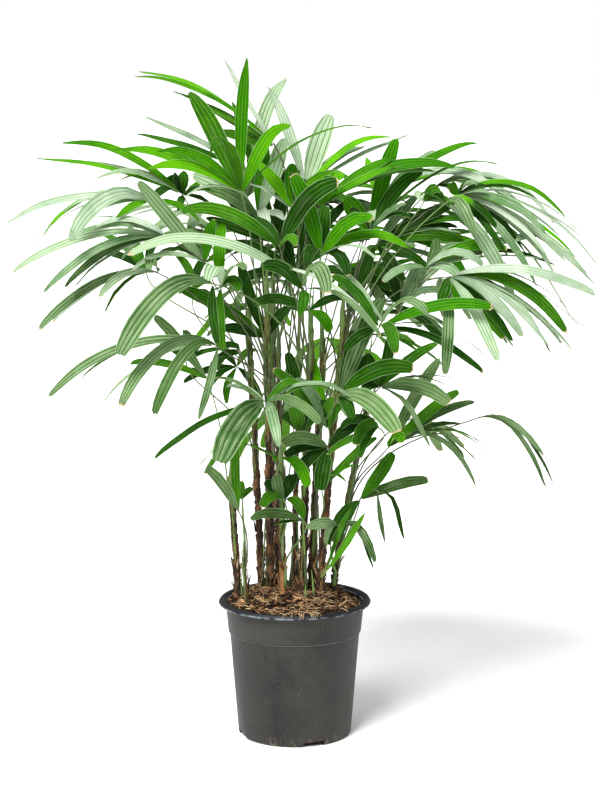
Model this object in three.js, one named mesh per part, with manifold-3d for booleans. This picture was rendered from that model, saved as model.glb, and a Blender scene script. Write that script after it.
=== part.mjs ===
// A lady palm in a nursery pot: a clump of reed-like canes that carry fan-shaped fronds.
// Millimetres, +Z up, +X to the right, -Y to the front, origin at the middle of the pot's underside.

import * as THREE from 'three';
import { mergeVertices } from 'three/addons/utils/BufferGeometryUtils.js';
import Module from 'manifold-3d';

const wasm = await Module();
wasm.setup();

// ---- Driving dimensions -------------------------------------------------------------------------

const GAP = 0.3;                    // between pieces that touch

const POT_HEIGHT = 252;
const POT_FOOT_RADIUS = 103;
const LEDGE_HEIGHT = 190;           // where the wall steps out into the upper band
const WALL_RADIUS_AT_LEDGE = 118.5;
const BAND_STEP = 2.8;
const BAND_TOP_RADIUS = 126.5;
const LIP_RADIUS = 139.5;
const LIP_DEPTH = 9;
const POT_WALL = 2.4;
const POT_SIDES = 32;
const DRAIN = { count: 4, width: 40, height: 9.5, depth: 14, firstTurn: -70 };
const FOOT_RIM = 7;                 // of the pot, down from the level that plant heights are told from

const MIX_EDGE = 13;                // the mix lies this far under the lip at the wall
const MOUND_HEIGHT = 266;           // ground level of the clump, a low mound above the lip
const MOUND_RADIUS = 114;

const CANE_TAPER = 0.74;            // tip girth as a share of the girth at the foot
const CANE_FLARE = 1.22;            // swelling right at the ground
const CANE_SPANS = 6;
const CANE_SIDES = 6;
const CANE_LEAN = [0.24, 0.62];     // its share a third and two thirds of the way up

const PETIOLE_RADIUS = 2.3;
const PETIOLE_STATIONS = [0, 0.33, 0.66, 1];
const LOWEST_PETIOLE = 40;          // above the mound
const LEAF_SCAR_SPACING = 24;       // between one petiole and the next down a cane
const FINGER_LENGTH = 205;
const FINGER_WIDTH = 31;            // of a finger of that length, and in proportion on smaller ones
const FINGER_STEP = 25;             // degrees from one finger of a fan to the next
const FEWEST_FINGERS = 3;
const MOST_FINGERS = 8;
const LENGTH_PER_FINGER = 38;       // a fan has about one finger for each such length of its middle one
const OUTER_FINGER = { width: 0.72, length: 0.82 };  // the outermost fingers beside the middle one
const ROOT_WIDTH = 0.34;            // where a finger leaves the hub, as a share of its width
const WIDEST_AT = 0.36;             // where it is widest, as a share of its length
const BEND_WIDTH = 0.92;            // halfway from there to the tip
const TIP_WIDTH = 0.42;             // the blunt tip
const BLADE_DEPTH = 2.6;            // of the keel under a finger
const FROND_GAP = 0.6;              // the least space between two fronds

// Heights here are above the foot rim of the pot.
// Each cane: its foot on the mound [x, y], its top [x, y, z], its girth, and its fronds from the top down.
// Each frond: the hub of its fan [x, y, z], then, where they aren't the usual ones, the length of its
// fingers, the turn of its middle finger (0 right, 90 back, 180 left, 270 front) and its lift above level.
const CANES = [
  { foot: [-104, 8], top: [-117, 6, 470], girth: 14, fronds: [
    [-185, 50, 640, 195, 185, 2],
  ] },
  { foot: [-88, -28], top: [-92, -34, 345], girth: 8, fronds: [
    [-100, -45, 415, 110, 115, 55],
  ] },
  { foot: [-62, 52], top: [-84, 62, 745], girth: 14, fronds: [
    [-200, 40, 992, 285, 172, 32],
    [-222, -100, 915, 275, 192, 4],
    [-240, -60, 845, 240, 203, -2],
    [-280, 130, 820],
    [-210, 180, 650],
  ] },
  { foot: [-46, 18], top: [-50, 12, 790], girth: 15, fronds: [
    [-94, 0, 1006, 254, 62, 82],
    [-254, -60, 968, 275, 185, 12],
    [-157, -70, 865, 210, 160, 34],
    [-128, -120, 838, 120, 215, 10],
  ] },
  { foot: [-31, 50], top: [-29, 62, 705], girth: 13, fronds: [
    [-18, 120, 950, 262, 88, 74],
    [-190, 210, 790],
    [-110, 230, 640],
  ] },
  { foot: [-22, -32], top: [-24, -42, 505], girth: 14, fronds: [
    [-52, -140, 623, 220, 222, -6],
    [-70, -62, 415, 90, 330, 5],
  ] },
  { foot: [-1, 38], top: [8, 100, 690], girth: 12, fronds: [
    [28, 120, 985, 255, 30, 40],
    [150, 250, 740],
    [20, 260, 610],
  ] },
  { foot: [14, -16], top: [30, -34, 741], girth: 15, fronds: [
    [-8, 40, 995, 240, 55, 42],
    [-26, -70, 890, 195, 140, 45],
    [15, -140, 823, 285, 188, 26],
    [-140, -165, 837, 220, 212, 10],
    [-133, -130, 725, 270, 204, -6],
  ] },
  { foot: [30, 10], top: [51, 2, 715], girth: 15, fronds: [
    [47, -60, 875, 210, 55, 50],
    [140, 130, 925, 210, 50, 35],
    [80, -125, 655, 285, 20, 48],
    [268, -70, 955, 250, 328, 12],
  ] },
  { foot: [46, -19], top: [88, -24, 765], girth: 15, fronds: [
    [300, -20, 978, 270, 352, 14],
    [150, 70, 972, 245, 8, 40],
    [132, 20, 915, 205, 50, 48],
    [265, -120, 847, 230, 325, -6],
    [250, 170, 880, 215],
    [143, -160, 762, 215, 335, 14],
  ] },
  { foot: [71, 18], top: [134, 28, 610], girth: 13, fronds: [
    [143, -100, 652, 170, 345, 8],
    [325, -60, 591, 185, 325, -10],
    [190, 60, 775, 185, 340, 4],
    [164, -60, 535, 190, 8, 18],
    [220, 110, 560],
    [118, -42, 435, 145, 352, 8],
    [64, -75, 384, 105, 325, -10],
  ] },
  { foot: [-44, 88], top: [-40, 165, 785], girth: 14, fronds: [
    [-41, 95, 1030, 262, 116, 56],
    [60, 230, 950],
    [-150, 280, 890],
    [0, 300, 820],
    [60, 280, 690],
  ] },
];

const COLOURS = { pot: '#2b2c2e', mix: '#4a3a2a', cane: '#4b4a2c', frond: '#3f7a2a' };

// ---- Small tools --------------------------------------------------------------------------------

const UP = new THREE.Vector3(0, 0, 1);
const rad = THREE.MathUtils.degToRad;
const clamp = THREE.MathUtils.clamp;
const vec = (x, y, z) => new THREE.Vector3(x, y, z);

// Repeatable noise, so that the plant is the same in each run.
let seed = 20260;
function random(low = 0, high = 1) {
  seed = (seed * 1664525 + 1013904223) % 4294967296;
  return low + (high - low) * (seed / 4294967296);
}

function heading(turn, lift) {
  const level = Math.cos(rad(lift));
  return vec(level * Math.cos(rad(turn)), level * Math.sin(rad(turn)), Math.sin(rad(lift)));
}

// v without its share along the unit vector away, at unit length.
function squareTo(away, v) {
  return v.clone().addScaledVector(away, -v.dot(away)).normalize();
}

function bare(geometry) {
  geometry.deleteAttribute('normal');
  geometry.deleteAttribute('uv');
  return mergeVertices(geometry, 1e-4);
}

function solidOf(geometry) {
  return new wasm.Manifold(new wasm.Mesh({
    numProp: 3,
    vertProperties: new Float32Array(geometry.attributes.position.array),
    triVerts: new Uint32Array(geometry.index.array),
  }));
}

function geometryOf(points, faces) {
  const geometry = new THREE.BufferGeometry();
  geometry.setAttribute('position', new THREE.Float32BufferAttribute(points, 3));
  geometry.setIndex(faces);
  return geometry;
}

function fromSolid(solid) {
  const mesh = solid.getMesh();
  return geometryOf([...mesh.vertProperties], [...mesh.triVerts]);
}

const plant = new THREE.Group();

function addPiece(name, geometry, colour, roughness) {
  geometry.computeVertexNormals();
  const mesh = new THREE.Mesh(geometry, new THREE.MeshStandardMaterial({ color: colour, roughness }));
  mesh.name = name;
  plant.add(mesh);
}

// ---- Pot: one moulded wall with a stepped band, a rolled lip and notches to drain at the foot ---

const ledgeTop = LEDGE_HEIGHT + BAND_STEP;

function outerRadius(z) {
  const [low, high, from, to] = z <= LEDGE_HEIGHT
    ? [POT_FOOT_RADIUS, WALL_RADIUS_AT_LEDGE, 0, LEDGE_HEIGHT]
    : [WALL_RADIUS_AT_LEDGE + BAND_STEP, BAND_TOP_RADIUS, ledgeTop, POT_HEIGHT - LIP_DEPTH];
  return THREE.MathUtils.mapLinear(z, from, to, low, high);
}

// The inside of the wall from the floor up to a height, drawn in by its thickness and any gap.
function innerWall(gap, top) {
  const inset = POT_WALL + gap;
  const heights = [inset, LEDGE_HEIGHT, ledgeTop, top];
  return heights.map((z) => [outerRadius(z) - inset, z]);
}

function potGeometry() {
  const corner = 6;
  const outside = [
    [0, 0],
    [POT_FOOT_RADIUS - corner, 0],
    [POT_FOOT_RADIUS - 0.3 * corner, 0.3 * corner],
    [POT_FOOT_RADIUS + 0.3, corner],
    [WALL_RADIUS_AT_LEDGE, LEDGE_HEIGHT],
    [WALL_RADIUS_AT_LEDGE + BAND_STEP, ledgeTop],
    [BAND_TOP_RADIUS, POT_HEIGHT - LIP_DEPTH],
    [LIP_RADIUS - 2, POT_HEIGHT - LIP_DEPTH + 1],
    [LIP_RADIUS, POT_HEIGHT - 0.6 * LIP_DEPTH],
    [LIP_RADIUS - 1, POT_HEIGHT - 3],
    [LIP_RADIUS - 4.5, POT_HEIGHT],
    [BAND_TOP_RADIUS + 1, POT_HEIGHT - 1],
  ];
  const inside = innerWall(0, POT_HEIGHT - LIP_DEPTH / 2).reverse();
  const profile = [...outside, ...inside, [0, POT_WALL]].map(([r, z]) => new THREE.Vector2(r, z));
  const shell = new THREE.LatheGeometry(profile, POT_SIDES).rotateX(Math.PI / 2);
  let pot = solidOf(bare(shell));
  for (let i = 0; i < DRAIN.count; i += 1) {
    const turn = rad(DRAIN.firstTurn - 90 + (i * 360) / DRAIN.count);
    const notch = new THREE.BoxGeometry(2 * DRAIN.depth, DRAIN.width, 2 * DRAIN.height);
    notch.translate(POT_FOOT_RADIUS, 0, 0).rotateZ(turn);
    pot = pot.subtract(solidOf(bare(notch)));
  }
  return fromSolid(pot);
}

addPiece('pot', potGeometry(), COLOURS.pot, 0.55);

// ---- Potting mix: fills the pot up to a mound that is level where the canes stand ---------------

function mixGeometry() {
  const wall = innerWall(GAP, POT_HEIGHT - MIX_EDGE);
  const profile = [[0, wall[0][1]], ...wall, [MOUND_RADIUS, MOUND_HEIGHT], [0, MOUND_HEIGHT]];
  const points = profile.map(([r, z]) => new THREE.Vector2(r, z));
  return bare(new THREE.LatheGeometry(points, POT_SIDES).rotateX(Math.PI / 2));
}

addPiece('potting_mix', mixGeometry(), COLOURS.mix, 0.95);

// ---- Canes: tapering reeds from a flat cut at the mound to the crown -----------------------------

function caneCurve({ foot, top }) {
  const start = vec(foot[0], foot[1], MOUND_HEIGHT + GAP);
  const end = vec(...top).addScaledVector(UP, FOOT_RIM);
  const rise = (end.z - start.z) / 3;
  // Upright out of the ground, then leaning as far as its top asks.
  const lower = start.clone().lerp(end, CANE_LEAN[0]).setZ(start.z + rise);
  const upper = start.clone().lerp(end, CANE_LEAN[1]).setZ(start.z + 2 * rise);
  return new THREE.CubicBezierCurve3(start, lower, upper, end);
}

function caneGeometry(curve, girth) {
  const height = 1;
  const tube = new THREE.CylinderGeometry(CANE_TAPER, 1, height, CANE_SIDES, CANE_SPANS);
  const geometry = bare(tube.rotateX(Math.PI / 2).translate(0, 0, height / 2));
  const at = geometry.attributes.position;
  for (let i = 0; i < at.count; i += 1) {
    const along = at.getZ(i);
    const swell = along < 0.5 / CANE_SPANS ? CANE_FLARE : 1;
    const centre = curve.getPoint(along);
    const radius = (girth / 2) * swell;
    at.setXYZ(i, centre.x + at.getX(i) * radius, centre.y + at.getY(i) * radius, centre.z);
  }
  return geometry;
}

const canes = CANES.map((row, i) => {
  const curve = caneCurve(row);
  const geometry = caneGeometry(curve, row.girth);
  addPiece(`cane_${String(i + 1).padStart(2, '0')}`, geometry, COLOURS.cane, 0.8);
  return { ...row, curve, solid: solidOf(geometry) };
});

// ---- Fronds: a thin petiole that opens at its hub into a fan of drooping fingers -----------------
// Every section is three points: left edge, right edge and keel, in that order.

class Blade {
  constructor() {
    this.points = [];
    this.faces = [];
  }

  add(section) {
    return section.map((point) => this.points.push(point.x, point.y, point.z) / 3 - 1);
  }

  skin(from, to) {
    for (let k = 0; k < 3; k += 1) {
      const next = (k + 1) % 3;
      this.faces.push(from[k], from[next], to[next], from[k], to[next], to[k]);
    }
  }

  run(sections) {
    for (let i = 1; i < sections.length; i += 1) {
      this.skin(sections[i - 1], sections[i]);
    }
  }

  closeStart([left, right, keel]) {
    this.faces.push(left, keel, right);
  }

  closeEnd([left, right, keel]) {
    this.faces.push(left, right, keel);
  }

  geometry() {
    return geometryOf(this.points, this.faces);
  }
}

// One length of petiole or finger as a closed solid by itself.
function closedRun(sections) {
  const blade = new Blade();
  const rings = sections.map((section) => blade.add(section));
  blade.closeStart(rings[0]);
  blade.run(rings);
  blade.closeEnd(rings[rings.length - 1]);
  return solidOf(blade.geometry());
}

const placed = canes.map(({ solid }, i) => ({ solid, box: solid.boundingBox(), owner: `cane ${i}` }));

function near(a, b) {
  return [0, 1, 2].every((k) => a.min[k] < b.max[k] + FROND_GAP && b.min[k] < a.max[k] + FROND_GAP);
}

// Whether a solid keeps its distance from all that stands already and isn't its owner's.
function isClear(solid, owner) {
  const box = solid.boundingBox();
  return placed.every((other) => other.owner === owner || !near(box, other.box)
    || solid.minGap(other.solid, FROND_GAP) >= FROND_GAP);
}

function place(solid, owner) {
  placed.push({ solid, box: solid.boundingBox(), owner });
}

function fanOf(hub, turn, lift, length) {
  const middle = heading(turn, lift);
  const left = vec(-Math.sin(rad(turn)), Math.cos(rad(turn)), 0);
  const normal = middle.clone().cross(left);
  const count = clamp(Math.round(0.8 + length / LENGTH_PER_FINGER), FEWEST_FINGERS, MOST_FINGERS);
  const width = random(0.86, 1.06) * FINGER_WIDTH * Math.min(1.08, 0.3 + (0.7 * length) / FINGER_LENGTH);
  const root = (0.5 * ROOT_WIDTH * width) / Math.sin(rad(FINGER_STEP / 2));
  const edges = [];
  for (let i = 0; i <= count; i += 1) {
    const angle = rad(FINGER_STEP * (count / 2 - i));
    const along = middle.clone().multiplyScalar(Math.cos(angle)).addScaledVector(left, Math.sin(angle));
    edges.push(hub.clone().addScaledVector(along, root));
  }
  return { hub, middle, left, normal, count, width, root, length, edges };
}

// The sections of one finger: where it leaves the hub, where it is widest, past its bend, and at its tip.
function fingerSections(fan, i, { yaw, pitch, droop, reach, girth, twist }) {
  const angle = rad(FINGER_STEP * (fan.count / 2 - i - 0.5) + yaw);
  const along = fan.middle.clone().multiplyScalar(Math.cos(angle)).addScaledVector(fan.left, Math.sin(angle));
  along.addScaledVector(fan.normal, Math.tan(rad(pitch))).normalize();
  const level = Math.sqrt(1 - along.z ** 2);
  const length = fan.length * reach;
  const parted = Math.max(WIDEST_AT * length, (0.53 * fan.width) / Math.sin(rad(FINGER_STEP / 2)));
  const [leftEdge, rightEdge] = [fan.edges[i], fan.edges[i + 1]];
  const base = leftEdge.clone().lerp(rightEdge, 0.5).addScaledVector(fan.normal, -BLADE_DEPTH);
  const stations = [[parted, 1], [(parted + length) / 2, BEND_WIDTH], [length, TIP_WIDTH]];
  const sections = stations.map(([distance, share]) => {
    const sag = (droop * level * distance) / fan.length;
    const centre = fan.hub.clone().addScaledVector(along, distance);
    centre.addScaledVector(UP, -0.5 * sag * distance);
    const run = along.clone().addScaledVector(UP, -sag).normalize();
    const across = squareTo(run, fan.left.clone().multiplyScalar(Math.cos(angle))
      .addScaledVector(fan.middle, -Math.sin(angle)).addScaledVector(fan.normal, Math.tan(rad(twist))));
    const keel = run.clone().cross(across).normalize();
    const half = 0.5 * fan.width * girth * share;
    return [
      centre.clone().addScaledVector(across, half),
      centre.clone().addScaledVector(across, -half),
      centre.clone().addScaledVector(keel, -BLADE_DEPTH),
    ];
  });
  return [[leftEdge, rightEdge, base], ...sections];
}

// The petiole leaves the cane steeply, and comes into the hub in line with the middle finger.
const SEATING_STEPS = 14;

function petioleSections(cane, fan, order, bow) {
  const { hub, middle, left } = fan;
  const topZ = cane.curve.getPoint(1).z;
  const reach = hub.clone().sub(cane.curve.getPoint(0.8)).setZ(0).length();
  const footZ = Math.max(MOUND_HEIGHT + LOWEST_PETIOLE, Math.min(
    topZ - 8 - LEAF_SCAR_SPACING * order,
    hub.z - 60 - 0.55 * reach,
  ));
  const along = clamp((footZ - MOUND_HEIGHT) / (topZ - MOUND_HEIGHT), 0.05, 0.985);
  const core = cane.curve.getPoint(along);
  const out = hub.clone().sub(core).setZ(0).normalize();
  const across = vec(-out.y, out.x, 0);
  const span = hub.distanceTo(core);
  const arrive = middle.clone().addScaledVector(UP, 0.35).normalize();
  const sectionsFrom = (start) => {
    const curve = new THREE.CubicBezierCurve3(
      start,
      start.clone().addScaledVector(UP, span * 0.36).addScaledVector(out, span * 0.1)
        .addScaledVector(across, bow),
      hub.clone().addScaledVector(arrive, -span * 0.3).addScaledVector(across, bow),
      hub,
    );
    let side = left;
    return [...PETIOLE_STATIONS].reverse().map((t) => {
      const centre = curve.getPoint(t);
      const run = curve.getTangent(t);
      side = squareTo(run, side);
      const over = run.clone().cross(side).normalize();
      return [
        centre.clone().addScaledVector(side, PETIOLE_RADIUS),
        centre.clone().addScaledVector(side, -PETIOLE_RADIUS),
        centre.clone().addScaledVector(over, -1.6 * PETIOLE_RADIUS),
      ];
    }).reverse();
  };
  // Slide the foot in or out until it stands just off the cane's side.
  let [inner, outer] = [0, cane.girth];
  for (let i = 0; i < SEATING_STEPS; i += 1) {
    const halfway = (inner + outer) / 2;
    const stalk = closedRun(sectionsFrom(core.clone().addScaledVector(out, halfway)));
    [inner, outer] = stalk.minGap(cane.solid, 2) < 1.1 * GAP ? [halfway, outer] : [inner, halfway];
  }
  return sectionsFrom(core.clone().addScaledVector(out, outer));
}

// The whole frond as one skin: the petiole's last section fans out to the roots of all the fingers.
function frondGeometry(petiole, fingers) {
  const blade = new Blade();
  const stalk = petiole.map((section) => blade.add(section));
  blade.closeStart(stalk[0]);
  blade.run(stalk);
  const [stalkLeft, stalkRight, stalkKeel] = stalk[stalk.length - 1];
  const count = fingers.length;
  const edges = blade.add([...fingers.map(([root]) => root[0]), fingers[count - 1][0][1]]);
  const keels = blade.add(fingers.map(([root]) => root[2]));
  const middle = Math.floor(count / 2);
  for (let i = count; i > middle; i -= 1) {
    blade.faces.push(stalkRight, edges[i], edges[i - 1]);
  }
  blade.faces.push(stalkLeft, stalkRight, edges[middle]);
  for (let i = middle; i > 0; i -= 1) {
    blade.faces.push(stalkLeft, edges[i], edges[i - 1]);
  }
  for (let i = 0; i < count; i += 1) {
    blade.faces.push(stalkKeel, edges[i], keels[i], stalkKeel, keels[i], edges[i + 1]);
  }
  blade.faces.push(stalkLeft, edges[0], stalkKeel, stalkRight, stalkKeel, edges[count]);
  fingers.forEach((sections, i) => {
    const rings = [[edges[i], edges[i + 1], keels[i]], ...sections.slice(1).map((s) => blade.add(s))];
    blade.run(rings);
    blade.closeEnd(rings[rings.length - 1]);
  });
  return blade.geometry();
}

// The middle of a fan, without its fingers, which has to be clear before any finger is grown.
function hubSolid(petiole, fan) {
  const stubs = [];
  for (let i = 0; i < fan.count; i += 1) {
    const level = { yaw: 0, pitch: 0, droop: 0.2, reach: 0.3, girth: 1, twist: 0 };
    stubs.push(fingerSections(fan, i, level).slice(0, 2));
  }
  return solidOf(frondGeometry(petiole, stubs));
}

function usualFan(cane, [x, y, z, length, turn, lift]) {
  const hub = vec(x, y, z + FOOT_RIM);
  const top = cane.curve.getPoint(1);
  const outward = THREE.MathUtils.radToDeg(Math.atan2(y - top.y, x - top.x));
  const steepness = clamp((hub.z - top.z) / 4, -12, 48);
  const [usualTurn, usualLength] = [outward + random(-14, 14), FINGER_LENGTH * random(0.88, 1.1)];
  return [hub, turn ?? usualTurn, lift ?? steepness, length ?? usualLength];
}

// Stalks and hubs first: each is moved a little at a time until it clears all those before it.
const STALK_TRIES = 80;
const fronds = [];
canes.forEach((cane, c) => {
  cane.fronds.forEach((row, order) => {
    const [hub, turn, lift, length] = usualFan(cane, row);
    const owner = `frond ${fronds.length}`;
    for (let t = 0; t < STALK_TRIES; t += 1) {
      const wander = 1.4 * t;
      const aside = () => random(-wander, wander);
      const fan = fanOf(hub.clone().add(vec(0.3 * aside(), aside(), 0.3 * aside())), turn, lift, length);
      const petiole = petioleSections(cane, fan, order, aside());
      const solid = hubSolid(petiole, fan);
      if (isClear(solid, `cane ${c}`) && solid.minGap(cane.solid, 1) >= 0.8 * GAP) {
        place(solid, owner);
        fronds.push({ owner, fan, petiole });
        break;
      }
    }
    if (fronds.length === 0 || fronds[fronds.length - 1].owner !== owner) {
      throw new Error(`no clear place for frond ${order + 1} of cane ${c + 1}`);
    }
  });
});

// Then the fingers, one by one: each bends a little aside, and in the last resort stays shorter.
const FINGER_TRIES = 160;
const FULL_LENGTH_TRIES = 50;

function growFinger({ owner, fan }, i, neighbours) {
  const offCentre = Math.abs(i + 0.5 - fan.count / 2) / (fan.count / 2);
  const droop = random(0.5, 0.85) + 0.25 * offCentre;
  const reach = random(0.9, 1.01) - (1 - OUTER_FINGER.length) * offCentre ** 2;
  const girth = random(0.86, 1.1) - (1 - OUTER_FINGER.width) * offCentre ** 2;
  for (let t = 0; t < FINGER_TRIES; t += 1) {
    const wander = Math.min(1, t / 60);
    const sections = fingerSections(fan, i, {
      yaw: random(-1, 1) * (4.5 + 6 * wander),
      pitch: random(-1, 1) * (4 + 16 * wander),
      droop: droop + random(-0.6, 0.6) * wander,
      reach: reach * (1 - Math.max(0, (t - FULL_LENGTH_TRIES) / FINGER_TRIES)),
      girth,
      twist: random(-1, 1) * 14,
    });
    const solid = closedRun(sections);
    const outer = closedRun(sections.slice(1));
    if (isClear(solid, owner) && neighbours.every((other) => outer.minGap(other.outer, 1) > GAP)) {
      place(solid, owner);
      return { sections, outer };
    }
  }
  throw new Error(`no clear place for a finger at ${fan.hub.toArray().map(Math.round)}`);
}

fronds.forEach((frond) => {
  const grown = [];
  for (let i = 0; i < frond.fan.count; i += 1) {
    grown.push(growFinger(frond, i, grown));
  }
  frond.fingers = grown.map(({ sections }) => sections);
});
fronds.forEach(({ petiole, fingers }, i) => {
  const name = `frond_${String(i + 1).padStart(2, '0')}`;
  addPiece(name, frondGeometry(petiole, fingers), COLOURS.frond, 0.5);
});

export default plant;
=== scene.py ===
import math
import random
from collections import namedtuple

import bmesh
import bpy
import numpy as np
from mathutils import Matrix, Vector, noise


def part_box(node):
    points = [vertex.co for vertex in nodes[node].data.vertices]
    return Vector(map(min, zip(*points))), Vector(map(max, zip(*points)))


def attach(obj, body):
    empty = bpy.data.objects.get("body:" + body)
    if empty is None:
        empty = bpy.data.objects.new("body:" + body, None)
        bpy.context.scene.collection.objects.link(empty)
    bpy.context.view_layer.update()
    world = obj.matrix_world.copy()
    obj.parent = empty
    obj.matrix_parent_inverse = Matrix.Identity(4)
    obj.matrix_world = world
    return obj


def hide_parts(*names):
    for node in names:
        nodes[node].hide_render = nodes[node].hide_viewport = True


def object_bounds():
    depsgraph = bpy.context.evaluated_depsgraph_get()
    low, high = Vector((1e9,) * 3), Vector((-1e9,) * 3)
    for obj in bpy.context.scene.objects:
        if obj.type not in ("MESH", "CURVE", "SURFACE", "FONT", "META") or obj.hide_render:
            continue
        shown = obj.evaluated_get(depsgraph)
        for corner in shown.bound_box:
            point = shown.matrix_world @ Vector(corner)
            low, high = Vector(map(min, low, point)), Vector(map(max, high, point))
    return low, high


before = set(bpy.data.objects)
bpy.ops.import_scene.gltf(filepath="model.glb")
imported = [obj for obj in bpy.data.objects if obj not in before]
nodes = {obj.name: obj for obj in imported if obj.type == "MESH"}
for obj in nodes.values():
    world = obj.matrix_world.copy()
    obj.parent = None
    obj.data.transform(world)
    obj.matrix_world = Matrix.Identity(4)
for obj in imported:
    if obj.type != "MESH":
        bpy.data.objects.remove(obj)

cad_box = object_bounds()
bpy.ops.object.select_all(action="DESELECT")


# ---- Pot ----------------------------------------------------------------------------------------
# A black nursery pot of polypropylene, moulded in one shot: a tapering wall that steps out into an
# upper band, a rolled lip, and notches round the foot that let water out. It stands on its rim.

POT_WALL = 0.0024
POT_FOOT_RADIUS = 0.1032
POT_RIM_INSIDE = 0.088              # inner radius of the rim that it stands on
POT_RECESS = 0.0014                 # how far the underside is hollowed inside that rim
POT_LEDGE = (0.1185, 0.190)         # radius and height where the wall steps out
POT_BAND = (0.1213, 0.1928)
POT_BAND_TOP = (0.1265, 0.2430)
POT_SIDES = 128
OUT_OF_ROUND = 0.0011               # how far the lip bows out and in
DRAWN_IN = 0.0006                   # how far it has shrunk all round
NOTCH = {"count": 4, "width": 0.040, "height": 0.0095, "depth": 0.014, "first_turn": -70}

pot_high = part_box("pot")[1]
LIP_RADIUS, POT_TOP = pot_high.x, pot_high.z
ARC_STEPS = 4                       # in each rounded corner of the outline


def rounded(corners):
    """The points of an open outline of (x, z, radius) corners, with an arc of that radius at each."""
    points = [Vector(corners[0][:2])]
    for before, here, after in zip(corners, corners[1:], corners[2:]):
        corner = Vector(here[:2])
        back = (Vector(before[:2]) - corner).normalized()
        on = (Vector(after[:2]) - corner).normalized()
        half = back.angle(on) / 2
        if here[2] == 0 or half > 1.5:      # no arc, or hardly a bend
            points.append(corner)
            continue
        centre = corner + (back + on).normalized() * here[2] / math.sin(half)
        start = corner + back * here[2] / math.tan(half) - centre
        end = corner + on * here[2] / math.tan(half) - centre
        sweep = start.angle_signed(end)
        for i in range(ARC_STEPS + 1):
            turn = -sweep * i / ARC_STEPS
            points.append(centre + Vector((
                start.x * math.cos(turn) - start.y * math.sin(turn),
                start.x * math.sin(turn) + start.y * math.cos(turn))))
    return points + [Vector(corners[-1][:2])]


def spun(name, outline, sides):
    """A new object: an outline of (radius, height) points spun about the upright axis."""
    mesh = bpy.data.meshes.new(name)
    mesh.from_pydata([(r, 0, z) for r, z in outline], [(i, i + 1) for i in range(len(outline) - 1)], [])
    made = bpy.data.objects.new(name, mesh)
    bpy.context.scene.collection.objects.link(made)
    bpy.context.view_layer.objects.active = made
    made.select_set(True)
    bpy.ops.object.mode_set(mode="EDIT")
    bpy.ops.mesh.select_all(action="SELECT")
    bpy.ops.mesh.spin(steps=sides, angle=math.tau, center=(0, 0, 0), axis=(0, 0, 1))
    bpy.ops.mesh.select_all(action="SELECT")
    bpy.ops.mesh.remove_doubles(threshold=1e-6)
    bpy.ops.mesh.normals_make_consistent(inside=False)
    bpy.ops.object.mode_set(mode="OBJECT")
    made.select_set(False)
    return made


pot_outline = rounded([
    (0, POT_RECESS, 0),
    (POT_RIM_INSIDE - 0.002, POT_RECESS, 0.001),
    (POT_RIM_INSIDE, 0, 0.001),
    (POT_FOOT_RADIUS, 0, 0.006),
    (*POT_LEDGE, 0.001),
    (*POT_BAND, 0.0012),
    (*POT_BAND_TOP, 0.001),
    (LIP_RADIUS - 0.002, POT_BAND_TOP[1] + 0.0005, 0.0015),
    (LIP_RADIUS, POT_TOP - 0.0055, 0.002),
    (LIP_RADIUS - 0.0040, POT_TOP, 0.003),
    (POT_BAND_TOP[0] + 0.0015, POT_TOP - 0.0005, 0.003),
    (POT_BAND_TOP[0] - POT_WALL, POT_TOP - 0.008, 0.002),
    (POT_BAND[0] - POT_WALL, POT_BAND[1], 0.001),
    (POT_LEDGE[0] - POT_WALL, POT_LEDGE[1], 0.001),
    (POT_FOOT_RADIUS - POT_WALL, POT_WALL + POT_RECESS, 0.003),
    (0, POT_WALL + POT_RECESS, 0),
])
pot = spun("nursery_pot", pot_outline, POT_SIDES)

# The notches: a block with softened edges cuts into the foot at each of them in turn.
bpy.ops.mesh.primitive_cube_add(size=1)
cutter = bpy.context.object
bpy.ops.object.mode_set(mode="EDIT")
bpy.ops.transform.resize(value=(2 * NOTCH["depth"], NOTCH["width"], 2 * NOTCH["height"]))
bpy.ops.mesh.bevel(offset=0.003, segments=3, affect="EDGES")
bpy.ops.transform.translate(value=(POT_FOOT_RADIUS, 0, 0))
bpy.ops.object.mode_set(mode="OBJECT")
for i in range(NOTCH["count"]):
    cutter.rotation_euler.z = math.radians(NOTCH["first_turn"] + i * 360 / NOTCH["count"])
    bpy.context.view_layer.update()
    notch = pot.modifiers.new("notch", "BOOLEAN")
    notch.operation = "DIFFERENCE"
    notch.object = cutter
    bpy.context.view_layer.objects.active = pot
    bpy.ops.object.modifier_apply(modifier="notch")
bpy.data.objects.remove(cutter)

# A thin wall is never quite round, and bows a little more towards the lip.
for v in pot.data.vertices:
    turn = math.atan2(v.co.y, v.co.x)
    up = v.co.z / POT_TOP
    bow = OUT_OF_ROUND * up ** 2 * math.sin(2 * turn + 0.6) - DRAWN_IN * up
    v.co.x += bow * math.cos(turn)
    v.co.y += bow * math.sin(turn)
bpy.ops.object.select_all(action="DESELECT")
pot.select_set(True)
bpy.context.view_layer.objects.active = pot
bpy.ops.object.shade_smooth_by_angle(angle=math.radians(32))
pot.select_set(False)


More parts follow.
